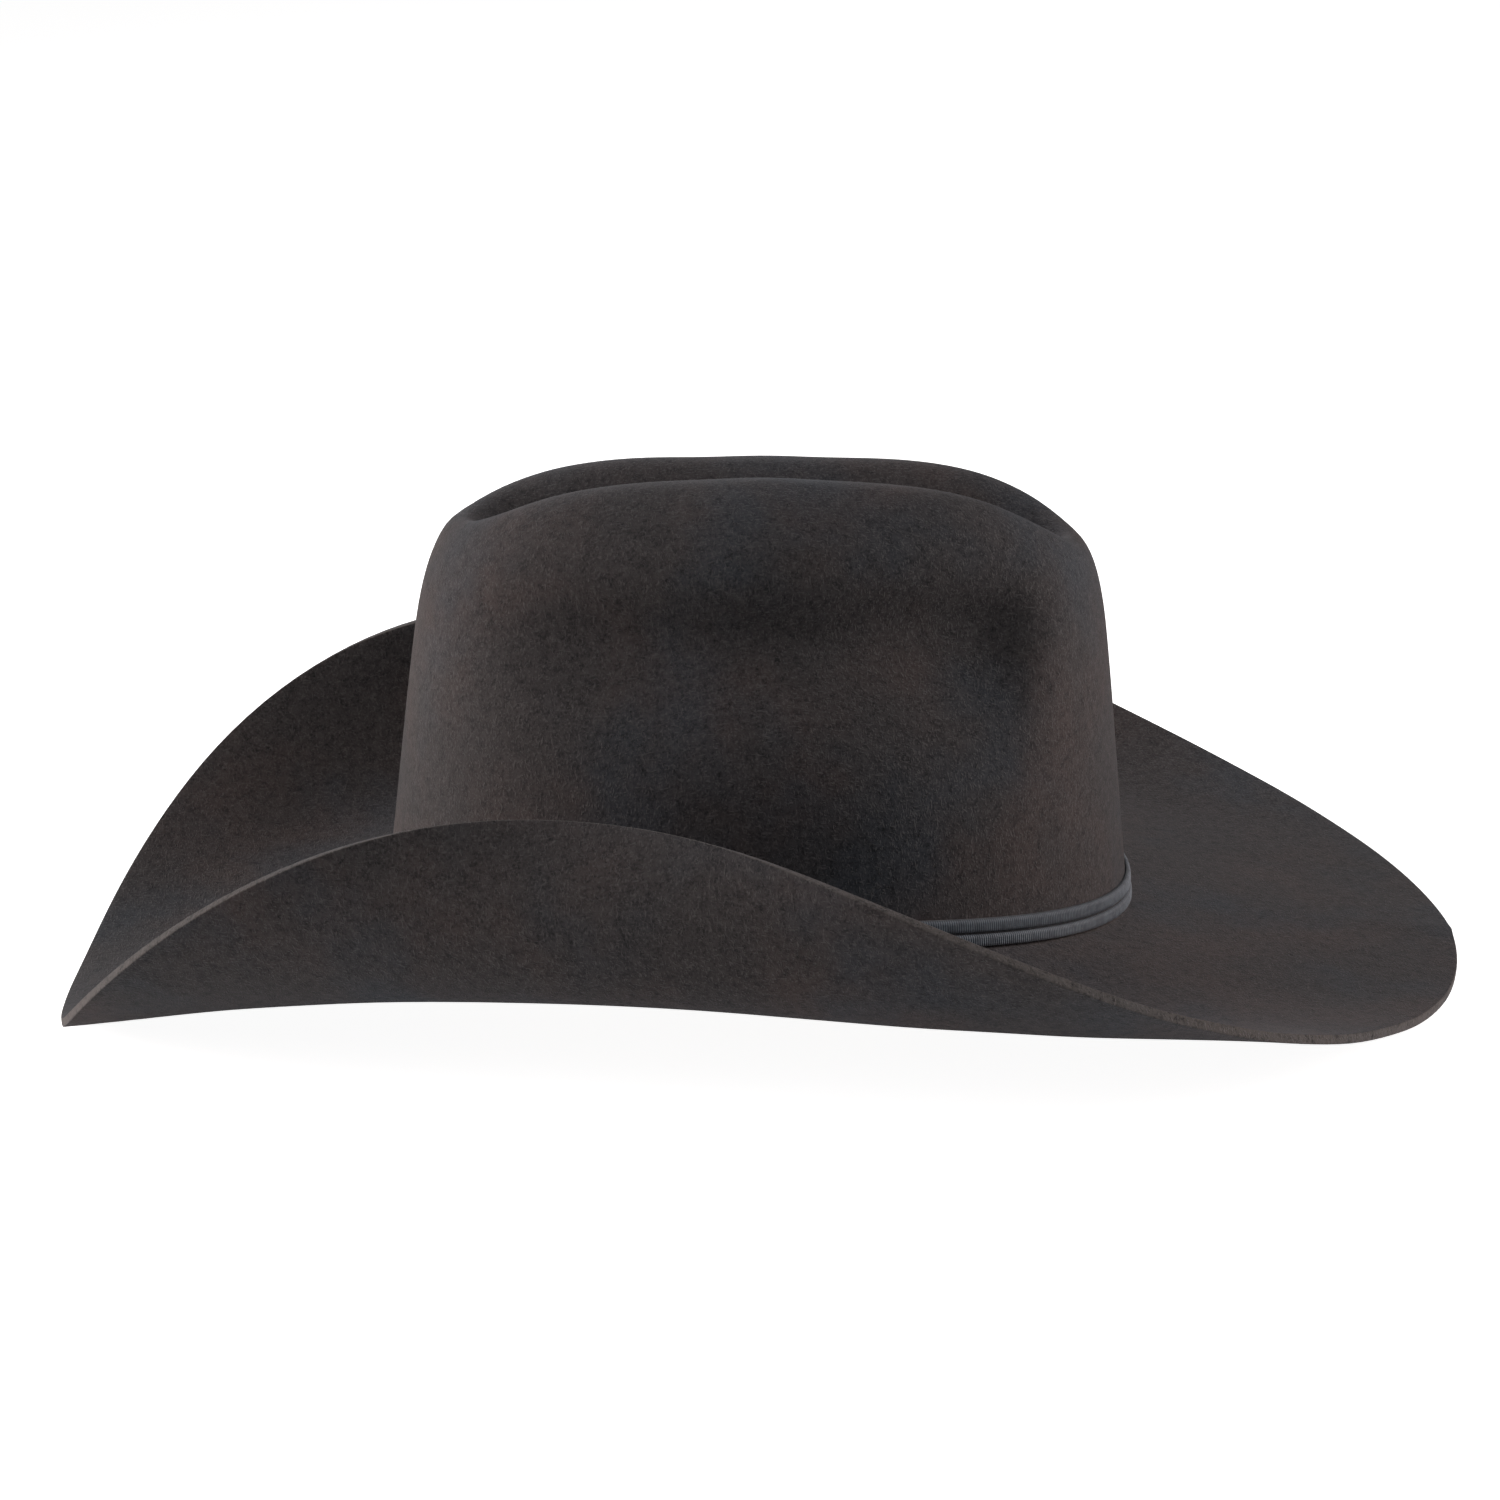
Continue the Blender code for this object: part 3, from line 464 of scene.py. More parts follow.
def evenly_round(count):
    """Angles of a full turn in equal steps, from 0."""
    return np.arange(count) * (2 * math.pi / count)


def squared_off(share_of_one, power):
    """A sine or cosine raised to a power below one, its sign kept: a round section becomes squarer."""
    return np.sign(share_of_one) * np.abs(share_of_one) ** power


def running_length(points):
    """Length along a line of points, from its first to each of them."""
    steps = np.linalg.norm(np.diff(points, axis=0), axis=-1)
    return np.concatenate([[0.0], np.cumsum(steps)])


def unevenness(points):
    """Soft waves of a hand-blocked surface, from -1 to 1: slow sines along six directions, added."""
    directions = np.array([[31, 12, 7], [-14, 37, 11], [9, -21, 40], [47, 30, -19], [-33, 25, 44],
                           [18, 52, -36]]) * 3.1
    phases = np.array([0.4, 1.9, 3.1, 4.4, 5.2, 0.9])
    return np.sin(points @ directions.T + phases).mean(axis=-1)


# Meshes -----------------------------------------------------------------------------------------


def mesh_of(name, points, faces, corner_uv):
    """Smooth mesh from its points, its faces and the UV place of every corner of every face."""
    mesh = bpy.data.meshes.new(name)
    mesh.from_pydata(points.tolist(), [], faces)
    layer = mesh.uv_layers.new(name="UVMap")
    layer.data.foreach_set("uv", np.concatenate(corner_uv).astype(np.float32).ravel())
    mesh.shade_smooth()
    return mesh


def in_scene(name, data):
    """New object that shows a mesh, a light or a camera."""
    shown = bpy.data.objects.new(name, data)
    bpy.context.scene.collection.objects.link(shown)
    return shown


def grid_faces(rows, columns, wrap_rows, wrap_columns):
    """Corners of a grid's quads as unwrapped rows and columns, one line per quad."""
    row, column = np.meshgrid(np.arange(rows - (not wrap_rows)), np.arange(columns - (not wrap_columns)),
                              indexing="ij")
    row, column = row.ravel(), column.ravel()
    return (np.stack([row, row, row + 1, row + 1], axis=1),
            np.stack([column, column + 1, column + 1, column], axis=1))


def mean_run(grid, wrap):
    """Mean running length down the rows of a grid, with the step back to the first row if wrapped."""
    looped = np.concatenate([grid, grid[:1]]) if wrap else grid
    steps = np.linalg.norm(np.diff(looped, axis=0), axis=-1).mean(axis=1)
    return np.concatenate([[0.0], np.cumsum(steps)])


def surface(name, grid, poles=(), strip=False):
    """Closed mesh over a grid of points, with a UV map in metres along its columns and rows.

    The columns join end to end, and so do the rows unless poles close the first and last with
    fans.  In a strip the columns don't join: one face closes each end.  All faces are turned over
    together if the volume they hold comes out negative.
    """
    rows, columns = grid.shape[:2]
    wrap_rows, wrap_columns = not len(poles), not strip
    row, column = grid_faces(rows, columns, wrap_rows, wrap_columns)
    points = grid.reshape(-1, 3)
    quads = (row % rows) * columns + column % columns
    u = mean_run(grid.transpose(1, 0, 2), wrap_columns)
    v = mean_run(grid, wrap_rows)
    corner_uv = np.stack([u[column], v[row]], axis=-1)
    faces = quads.tolist()
    uv = [corner_uv.reshape(-1, 2)]
    for pole, at in zip(poles, (0, rows - 1)):
        points = np.concatenate([points, [pole]])
        first = np.arange(columns)
        ring = at * columns + np.stack([first, (first + 1) % columns], axis=1)
        fan = np.column_stack([ring, np.full(columns, len(points) - 1)])
        faces += (fan if at else fan[:, [1, 0, 2]]).tolist()
        far = v[at] + (v[1] - v[0]) * (1 if at else -1)
        sides = np.stack([u[first], u[first + 1], (u[first] + u[first + 1]) / 2], axis=1)
        heights = np.tile([v[at], v[at], far], (columns, 1))
        fan_uv = np.stack([sides, heights], axis=-1)
        uv.append((fan_uv if at else fan_uv[:, [1, 0, 2]]).reshape(-1, 2))
    if strip:
        rim = np.arange(rows) * columns
        faces += [rim.tolist(), (rim + columns - 1)[::-1].tolist()]
        uv.append(np.stack([0.0 * rim, v[:rows]], axis=1))
        uv.append(np.stack([u[columns - 1] + 0.0 * rim, v[:rows][::-1]], axis=1))
    if volume(points, quads) < 0:
        faces = [face[::-1] for face in faces]
        sizes = [len(face) for face in faces]
        starts = np.repeat(np.cumsum([0] + sizes[:-1]), sizes)
        within = np.arange(sum(sizes)) - starts
        uv = [np.concatenate(uv)[starts + np.repeat(sizes, sizes) - 1 - within]]
    return mesh_of(name, points, faces, uv)


def volume(points, quads):
    """Six times the volume between a grid's quads and their mean point, by sums of box products."""
    a, b, c, d = (points[quads[:, i]] - points.mean(axis=0) for i in range(4))
    return np.sum(np.cross(a, b) * c) + np.sum(np.cross(a, c) * d)


def tube(path, side, up, radius, sides):
    """Rings of points round a path: radius times the cosine to its side and the sine up."""
    around = evenly_round(sides)[:, None, None]
    return path + radius * (np.cos(around) * side + np.sin(around) * up)


def joined(name, meshes):
    """One mesh from several, one after the other."""
    parts = [in_scene(name, mesh) for mesh in meshes]
    with bpy.context.temp_override(active_object=parts[0], object=parts[0],
                                   selected_editable_objects=parts):
        bpy.ops.object.join()
    shape = parts[0].data
    bpy.data.objects.remove(parts[0])
    return shape


def stitches(name, starts, ends, out, thread):
    """Separate stitches from start to end: straight capsules, the thread thick.

    A ring's radius is the thread's times the root of one less the fourth power of its place along.
    """
    middle, half = (starts + ends) / 2, (ends - starts) / 2
    centre = middle[:, None] + half[:, None] * STITCH_RINGS[None, :, None]
    side = unit(np.cross(half, out))
    width = thread / 2 * np.sqrt(1.0 - STITCH_RINGS ** 4)[None, :, None]
    around = evenly_round(STITCH_SIDES)
    ring = np.cos(around)[:, None] * side[:, None, None] + np.sin(around)[:, None] * out[:, None, None]
    points = centre[:, :, None] + width[..., None] * ring
    count, rings, sides = len(starts), len(STITCH_RINGS), STITCH_SIDES
    first = rings * sides * np.arange(count)[:, None, None]
    row, column = grid_faces(rows=rings, columns=sides, wrap_rows=False, wrap_columns=True)
    quads = (row * sides + column % sides)[None] + first
    foot = np.arange(sides)
    caps = np.stack([foot[::-1], (rings - 1) * sides + foot])[None] + first
    corner_uv = np.tile(np.stack([row, column], axis=-1).reshape(-1, 2) * STITCH_UV, (count, 1))
    return mesh_of(name, points.reshape(-1, 3),
                   quads.reshape(-1, 4).tolist() + caps.reshape(-1, sides).tolist(),
                   [corner_uv, np.zeros((2 * count * sides, 2))])


def add_piece(name, mesh, look, node):
    """Show a mesh in place of a node, with its finish, riding on the hat."""
    mesh.materials.append(finish(look))
    piece = in_scene(name, mesh)
    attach(piece, "root")
    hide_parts(node)
    return piece


def add_grid(hat, name, grid, look, node, strip=False):
    """Show a grid of the upright hat, set down where it stands, in place of a node."""
    return add_piece(name, surface(name, hat.at_rest(grid), strip=strip), look, node)


def give_mask(mesh, name, values):
    """Store one value for each point of a mesh, for its finish to read."""
    values = np.asarray(values, np.float32).ravel()
    mesh.attributes.new(name, "FLOAT", "POINT").data.foreach_set("value", values)


def refinish(node, look):
    """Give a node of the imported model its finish."""
    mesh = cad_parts[node].data
    mesh.materials.clear()
    mesh.materials.append(finish(look))


# Finishes ---------------------------------------------------------------------------------------


class Nodes:
    """Short way to add nodes to a tree and to link them."""

    def __init__(self, tree):
        self.tree = tree

    def add(self, kind, inputs=None, **settings):
        """A node with its settings; an input is a value, or an output to link to it."""
        made = self.tree.nodes.new(kind)
        for name, value in settings.items():
            setattr(made, name, value)
        for name, value in (inputs or {}).items():
            self.give(made.inputs[name], value)
        return made

    def give(self, socket, value):
        """Link an output to a socket, or set the socket's value."""
        if isinstance(value, bpy.types.NodeSocket):
            self.tree.links.new(value, socket)
        elif isinstance(socket.default_value, bpy.types.bpy_prop_array) and len(value) == 3:
            wide = len(socket.default_value) == 4
            socket.default_value = (*value, 1.0) if wide else tuple(value)
        else:
            socket.default_value = value

    def math(self, operation, a, b=0.0, clamp=False):
        """Result of a Math node."""
        made = self.add("ShaderNodeMath", {0: a, 1: b}, operation=operation, use_clamp=clamp)
        return made.outputs[0]

    def ramp(self, value, low, high):
        """Value stretched from low and high to 0 and 1, with soft ends."""
        made = self.add("ShaderNodeMapRange", {"Value": value, "From Min": low, "From Max": high},
                        interpolation_type="SMOOTHSTEP")
        return made.outputs["Result"]

    def mix(self, factor, a, b):
        """Colour from a to b."""
        made = self.add("ShaderNodeMix", data_type="RGBA")
        self.give(made.inputs["Factor"], factor)
        self.give(made.inputs["A"], a)
        self.give(made.inputs["B"], b)
        return made.outputs["Result"]

    def noise(self, vector, scale, detail=2.0, roughness=0.5):
        """Value of a Noise texture."""
        made = self.add("ShaderNodeTexNoise", {"Vector": vector, "Scale": scale, "Detail": detail,
                                               "Roughness": roughness})
        return made.outputs["Fac"]

    def stretched(self, vector, scale, rotation):
        """Vector turned and then scaled on each axis, so that a round pattern comes out as lines."""
        made = self.add("ShaderNodeMapping", {"Vector": vector, "Rotation": rotation, "Scale": scale})
        return made.outputs["Vector"]


def node_group(name, inputs, outputs):
    """Empty group with named sockets: its nodes, its input node's outputs and its output node."""
    tree = bpy.data.node_groups.new(name, "ShaderNodeTree")
    for label, kind, default in inputs:
        socket = tree.interface.new_socket(label, in_out="INPUT", socket_type="NodeSocket" + kind)
        if default is not None:
            socket.default_value = default
    for label, kind in outputs:
        tree.interface.new_socket(label, in_out="OUTPUT", socket_type="NodeSocket" + kind)
    nodes = Nodes(tree)
    return nodes, nodes.add("NodeGroupInput").outputs, nodes.add("NodeGroupOutput").inputs


@cache
def patches_group():
    """Slow drift of a colour: two soft masks from large noise mix in a warm and a cool colour."""
    nodes, given, result = node_group(
        "Colour patches",
        [("Vector", "Vector", None), ("Base", "Color", None), ("Warm", "Color", None),
         ("Cool", "Color", None), ("Size", "Float", 0.03), ("Amount", "Float", 1.0)],
        [("Colour", "Color")])
    scale = nodes.math("DIVIDE", 1.0, given["Size"])
    warm = nodes.ramp(nodes.noise(given["Vector"], scale, 3.0, 0.55), 0.44, 0.70)
    moved = nodes.add("ShaderNodeVectorMath", {0: given["Vector"], 1: (0.37, 0.11, 0.53)})
    cool = nodes.ramp(nodes.noise(moved.outputs[0], scale, 3.0, 0.55), 0.44, 0.70)
    first = nodes.mix(nodes.math("MULTIPLY", warm, given["Amount"]), given["Base"], given["Warm"])
    second = nodes.mix(nodes.math("MULTIPLY", cool, given["Amount"]), first, given["Cool"])
    nodes.give(result["Colour"], second)
    return nodes.tree


@cache
def nap_group():
    """Nap of felt or cloth: fine grain on a coarser one, and thin light hairs in three directions.

    A hair is the crest of a noise that is stretched along one direction; the highest of the three
    is kept.  Height is the grain and the hairs added.
    """
    nodes, given, result = node_group(
        "Nap",
        [("Vector", "Vector", None), ("Colour", "Color", None), ("Hair colour", "Color", None),
         ("Grain size", "Float", 0.0008), ("Grain contrast", "Float", 0.5),
         ("Hair share", "Float", 0.5)],
        [("Colour", "Color"), ("Height", "Float")])
    scale = nodes.math("DIVIDE", 1.0, given["Grain size"])
    fine = nodes.noise(given["Vector"], scale, 3.0, 0.65)
    coarse = nodes.noise(given["Vector"], nodes.math("MULTIPLY", scale, 0.3), 2.0, 0.5)
    grain = nodes.math("ADD", nodes.math("MULTIPLY", fine, 0.6), nodes.math("MULTIPLY", coarse, 0.4))
    hairs = []
    for stretch, turn in (((1900, 520, 1300), (0.3, 0.5, 0.9)), ((560, 1800, 1400), (1.1, 0.2, 2.3)),
                          ((1600, 1300, 540), (0.6, 1.3, 0.4))):
        line = nodes.noise(nodes.stretched(given["Vector"], stretch, turn), 1.0, 1.0, 0.5)
        hairs.append(nodes.ramp(line, 0.58, 0.74))
    hair = nodes.math("MAXIMUM", nodes.math("MAXIMUM", hairs[0], hairs[1]), hairs[2])
    shade = nodes.math("MULTIPLY", nodes.math("SUBTRACT", grain, 0.5), given["Grain contrast"])
    dark = nodes.mix(nodes.math("MULTIPLY", shade, -4.0, clamp=True), given["Colour"], (0.004,) * 3)
    light = nodes.mix(nodes.math("MULTIPLY", shade, 0.9, clamp=True), dark, given["Hair colour"])
    haired = nodes.mix(nodes.math("MULTIPLY", hair, given["Hair share"]), light, given["Hair colour"])
    nodes.give(result["Colour"], haired)
    nodes.give(result["Height"], nodes.math("ADD", grain, nodes.math("MULTIPLY", hair, 0.5)))
    return nodes.tree


@cache
def rib_group():
    """Ribbed ribbon: a wave along U gives the ribs, a finer one along V the threads that cross them, and
    the valleys are painted a darker shade.
    """
    nodes, given, result = node_group(
        "Ribs",
        [("Vector", "Vector", None), ("Crest", "Color", None), ("Valley", "Color", None),
         ("Pitch", "Float", 0.00076), ("Cross pitch", "Float", 0.00030), ("Cross share", "Float", 0.4)],
        [("Colour", "Color"), ("Height", "Float")])
    place = nodes.add("ShaderNodeSeparateXYZ", {0: given["Vector"]})
    waves = []
    for run, pitch in ((place.outputs["X"], given["Pitch"]), (place.outputs["Y"], given["Cross pitch"])):
        turns = nodes.math("MULTIPLY", nodes.math("DIVIDE", run, pitch), 2 * math.pi)
        wave = nodes.math("COSINE", turns)
        waves.append(nodes.math("MULTIPLY", nodes.math("ADD", wave, 1.0), 0.5))
    height = nodes.math("ADD", waves[0], nodes.math("MULTIPLY", waves[1], given["Cross share"]))
    worn = nodes.noise(given["Vector"], 900.0, 2.0, 0.6)
    # Painted shade: the crest colour falls to the valley colour between the ribs; worn spots lower it as
    # well
    crest = nodes.math("MULTIPLY", nodes.ramp(waves[0], 0.0, 0.8), nodes.ramp(worn, 0.15, 0.6))
    nodes.give(result["Colour"], nodes.mix(crest, given["Valley"], given["Crest"]))
    nodes.give(result["Height"], height)
    return nodes.tree


@cache
def grain_group():
    """Pebbled leather grain: two cell patterns and a noise that shifts them."""
    nodes, given, result = node_group(
        "Leather grain",
        [("Vector", "Vector", None), ("Colour", "Color", None), ("Crack colour", "Color", None),
         ("Cell size", "Float", 0.0012)],
        [("Colour", "Color"), ("Height", "Float")])
    scale = nodes.math("DIVIDE", 1.0, given["Cell size"])
    shift = nodes.add("ShaderNodeTexNoise", {"Vector": given["Vector"], "Scale": 300.0})
    moved = nodes.add("ShaderNodeVectorMath", {0: shift.outputs["Color"], "Scale": 0.0006},
                      operation="SCALE")
    vector = nodes.add("ShaderNodeVectorMath", {0: given["Vector"], 1: moved.outputs[0]}).outputs[0]
    cells = nodes.add("ShaderNodeTexVoronoi", {"Vector": vector, "Scale": scale},
                      feature="DISTANCE_TO_EDGE").outputs["Distance"]
    crack = nodes.ramp(cells, 0.16, 0.0)
    nodes.give(result["Colour"], nodes.mix(nodes.math("MULTIPLY", crack, 0.7), given["Colour"],
                                           given["Crack colour"]))
    nodes.give(result["Height"], nodes.ramp(cells, 0.0, 0.25))
    return nodes.tree


class Coat(Nodes):
    """A material in the making: its nodes, its shader's inputs and its coordinates."""

    def __init__(self, name, **constants):
        """New material; the constants go on the shader's own inputs."""
        self.material = bpy.data.materials.new(name)
        self.material.use_nodes = True
        super().__init__(self.material.node_tree)
        self.shader = self.tree.nodes["Principled BSDF"].inputs
        for label, value in constants.items():
            self.shader[label.replace("_", " ")].default_value = value

    @cached_property
    def place(self):
        """Coordinates: Object in metres, UV along the surface."""
        return self.add("ShaderNodeTexCoord").outputs

    def use(self, group, **inputs):
        """A shared group placed in the material, with its own values."""
        named = {label.replace("_", " "): value for label, value in inputs.items()}
        return self.add("ShaderNodeGroup", named, node_tree=group).outputs

    def patches(self, base, warm, cool, size, amount):
        """Colour that drifts between three."""
        return self.use(patches_group(), Vector=self.place["Object"], Base=base, Warm=warm, Cool=cool,
                        Size=size, Amount=amount)["Colour"]

    def mask(self, name):
        """Value that the mesh holds for each of its points."""
        return self.add("ShaderNodeAttribute", attribute_name=name).outputs["Fac"]

    def end(self, colour, height, distance, strength=1.0):
        """Finished material: its colour, and a bump from a height as its normal."""
        self.give(self.shader["Base Color"], colour)
        bump = self.add("ShaderNodeBump", {"Height": height, "Distance": distance, "Strength": strength})
        self.give(self.shader["Normal"], bump.outputs["Normal"])
        return self.material


def shaded(tone, factor):
    """A colour made lighter or darker by a factor."""
    return tuple(factor * value for value in tone)


def felt_finish(c):
    """Dark brown fur felt: drifting warm and cool patches, grain, light hairs, paler cut edge."""
    coat = Coat("dark_brown_felt", Roughness=0.95, Sheen_Weight=0.12, Sheen_Roughness=0.55,
                Sheen_Tint=(0.62, 0.66, 0.74, 1.0), Specular_IOR_Level=0.25)
    tone = coat.patches(c.felt, c.felt_warm, c.felt_cool, 0.048, 0.80)
    body = coat.mix(coat.math("MULTIPLY", coat.mask("cut_edge"), 0.6), tone, c.felt_edge)
    nap = coat.use(nap_group(), Vector=coat.place["Object"], Colour=body, Hair_colour=c.felt_fibre,
                   Grain_size=0.0008, Grain_contrast=1.10, Hair_share=0.26)
    return coat.end(nap["Colour"], nap["Height"], 0.00035, 0.8)


def ribbon_finish(c):
    """Slate ribbon of the bow: ribs across it in the weave."""
    coat = Coat("slate_ribbon", Roughness=0.62, Sheen_Weight=0.15, Specular_IOR_Level=0.4)
    ribs = coat.use(rib_group(), Vector=coat.place["UV"], Crest=c.ribbon, Valley=c.ribbon_shade_and_wear)
    return coat.end(ribs["Colour"], ribs["Height"], 0.00018)


def band_rows_finish(c):
    """Slate band: the ribs are in the mesh, so this adds the threads across, painted shade in the valleys
    and towards each row's edges, and worn spots.
    """
    coat = Coat("slate_band", Roughness=0.62, Sheen_Weight=0.15, Specular_IOR_Level=0.4)
    ribs = coat.use(rib_group(), Vector=coat.place["UV"], Crest=c.ribbon, Valley=c.ribbon_shade_and_wear,
                    Cross_share=0.5)
    # Painted shade: by the crest mask the colour darkens in the rib valleys and towards the row's top and
    # bottom edges
    tone = coat.mix(coat.ramp(coat.mask("crest"), 0.1, 0.9), c.ribbon_shade_and_wear, c.ribbon)
    worn = coat.ramp(coat.noise(coat.place["Object"], 420.0, 3.0, 0.6), 0.6, 0.3)
    shade = coat.mix(coat.math("MULTIPLY", worn, 0.5), tone, c.ribbon_shade_and_wear)
    return coat.end(shade, ribs["Height"], 0.00005)


def cloth(name, base, hair, roughness, grain):
    """Cloth with a small nap."""
    coat = Coat(name, Roughness=roughness, Sheen_Weight=0.2)
    nap = coat.use(nap_group(), Vector=coat.place["Object"], Colour=base, Hair_colour=hair,
                   Grain_size=grain, Grain_contrast=0.5, Hair_share=0.35)
    return coat.end(nap["Colour"], nap["Height"], 0.00015)


def thread_finish(c):
    """Dark twisted thread."""
    return cloth("dark_thread", c.thread, (0.06, 0.06, 0.07), 0.7, 0.0004)


def cotton_finish(c):
    """Undyed cotton tape and thread."""
    return cloth("cotton_tape", c.cotton, (0.32, 0.25, 0.19), 0.85, 0.0005)


def leather_finish(c):
    """Tan sweatband leather: pebbled grain, darker drift, a soft shine that follows the grain."""
    coat = Coat("tan_leather", Specular_IOR_Level=0.5)
    tone = coat.patches(c.leather, shaded(c.leather, 0.8), c.leather_dark, 0.05, 0.35)
    grain = coat.use(grain_group(), Vector=coat.place["Object"], Colour=tone,
                     Crack_colour=c.leather_dark, Cell_size=0.0011)
    gloss = coat.math("MULTIPLY", grain["Height"], 0.15)
    coat.give(coat.shader["Roughness"], coat.math("SUBTRACT", 0.62, gloss))
    return coat.end(grain["Colour"], grain["Height"], 0.00012)


def satin_finish(c):
    """Brown satin: long fine threads and a bright, drawn-out shine."""
    coat = Coat("brown_satin", Roughness=0.34, Anisotropic=0.5, Sheen_Weight=0.25,
                Specular_IOR_Level=0.55)
    threads = coat.noise(coat.stretched(coat.place["UV"], (5200, 500, 1), (0, 0, 0)), 1.0, 1.0)
    tone = coat.patches(c.satin, shaded(c.satin, 1.3), shaded(c.satin, 0.7), 0.04, 0.5)
    lined = coat.mix(coat.ramp(threads, 0.7, 0.3), tone, shaded(c.satin, 0.6))
    return coat.end(lined, threads, 0.00006)


def clear_cover_finish(_):
    """Clear plastic film with faint scuffs."""
    coat = Coat("clear_cover", Transmission_Weight=0.95, IOR=1.46, Base_Color=(0.93, 0.93, 0.90, 1.0))
    drawn_out = coat.stretched(coat.place["Object"], (300, 60, 60), (0.2, 0.1, 0.7))
    scuff = coat.ramp(coat.noise(drawn_out, 1.0, 3.0), 0.45, 0.8)
    coat.give(coat.shader["Roughness"], coat.math("MULTIPLY", scuff, 0.25))
    return coat.material


def moulded(name, base, roughness, size):
    """Even surface whose tone and gloss drift a little."""
    coat = Coat(name)
    tone = coat.patches(base, shaded(base, 0.92), shaded(base, 0.85), size, 0.6)
    fine = coat.noise(coat.place["Object"], 1500.0, 3.0)
    drift = coat.math("ADD", fine, 0.5)
    coat.give(coat.shader["Roughness"], coat.math("MULTIPLY", drift, roughness))
    return coat.end(tone, fine, 0.00003)


def plastic_finish(c):
    """White moulded reed with a faint drift of tone."""
    return moulded("white_plastic", c.plastic, 0.42, 0.010)


def paper_finish(c):
    """Plain coated tag."""
    return moulded("label_paper", c.paper, 0.75, 0.006)


FINISHES = {"felt": felt_finish, "ribbon": ribbon_finish, "band_rows": band_rows_finish,
            "thread": thread_finish, "cotton": cotton_finish, "leather": leather_finish,
            "satin": satin_finish, "clear_cover": clear_cover_finish, "plastic": plastic_finish,
            "paper": paper_finish}


@cache
def finish(name):
    """A finish by its name, made when it is first asked for."""
    return FINISHES[name](bpy.context.scene.hat_colours)


def block():
    """The hat's block, from its settings."""
    return HatBlock(bpy.context.scene.hat_block)


# Operators --------------------------------------------------------------------------------------


class HAT_OT_felt(Operator):
    """Make the crown and the brim in one piece of felt"""

    bl_idname = "hat.felt"
    bl_label = "Felt"

    def execute(self, context):
        """Upper face by the crown's and the brim's formulas, lower face square to it, cut edge between.

        The cut edge is half a rounded square from the upper face to the lower one.
        """
        hat, size = block(), context.scene.hat_block
        angles = evenly_round(size.angle_steps)
        turns = np.arange(size.crown_steps)[::-1] / size.crown_steps
        crown = hat.crown_rows(turns, angles)
        brim, direction = hat.brim_rows(angles, size.brim_steps)
        face = np.concatenate([crown, brim])
        along = np.roll(face, -1, axis=1) - np.roll(face, 1, axis=1)
        normal = unit(np.cross(along, -np.gradient(face, axis=0)))
        from_break = np.concatenate([turns, np.linspace(0, 0.6, size.brim_steps)])[:, None]
        stray = size.unevenness * unevenness(face) * smooth((from_break - 0.16) / 0.2)
        face = face + stray[..., None] * normal
        under = self.eased(face - size.felt * normal, size.crown_steps)
        around = np.linspace(0.0, math.pi, EDGE_POINTS)[1:-1, None, None]
        down = 1.0 - squared_off(np.cos(around), size.edge_power)
        out = np.sin(around) ** size.edge_power
        edge = face[-1] - size.felt / 2 * down * normal[-1] + size.edge_round * out * direction[-1]
        rows = np.concatenate([face, edge, under[::-1]])
        poles = [hat.layer_rows([NEAR_TOP], depth, angles)[0].mean(axis=0)
                 for depth in (0.0, size.felt)]
        mesh = surface("felt", hat.at_rest(rows), poles=hat.at_rest(np.array(poles)))
        mask = np.zeros(len(mesh.vertices), np.float32)
        first = len(face) * size.angle_steps
        mask[first:first + edge.shape[0] * size.angle_steps] = 1.0
        give_mask(mesh, "cut_edge", mask)
        add_piece("felt_crown_and_brim", mesh, "felt", "felt_body")
        return {"FINISHED"}

    @staticmethod
    def eased(rows, corner):
        """Rows with the corner at the break rounded: each row there is averaged with its neighbours."""
        rows = rows.copy()
        for _ in range(3):
            near = slice(corner - 2, corner + 2)
            rows[near] = (rows[corner - 3:corner + 1] + 2 * rows[near] + rows[corner - 1:corner + 3]) / 4
        return rows


def band_heights(trim):
    """Tops of the band's lower row, of the thread's groove and of the upper row."""
    lower_top = trim.row_low + trim.lower_row
    upper_low = lower_top + trim.thread + 2 * trim.gap
    return lower_top, upper_low, upper_low + trim.upper_row


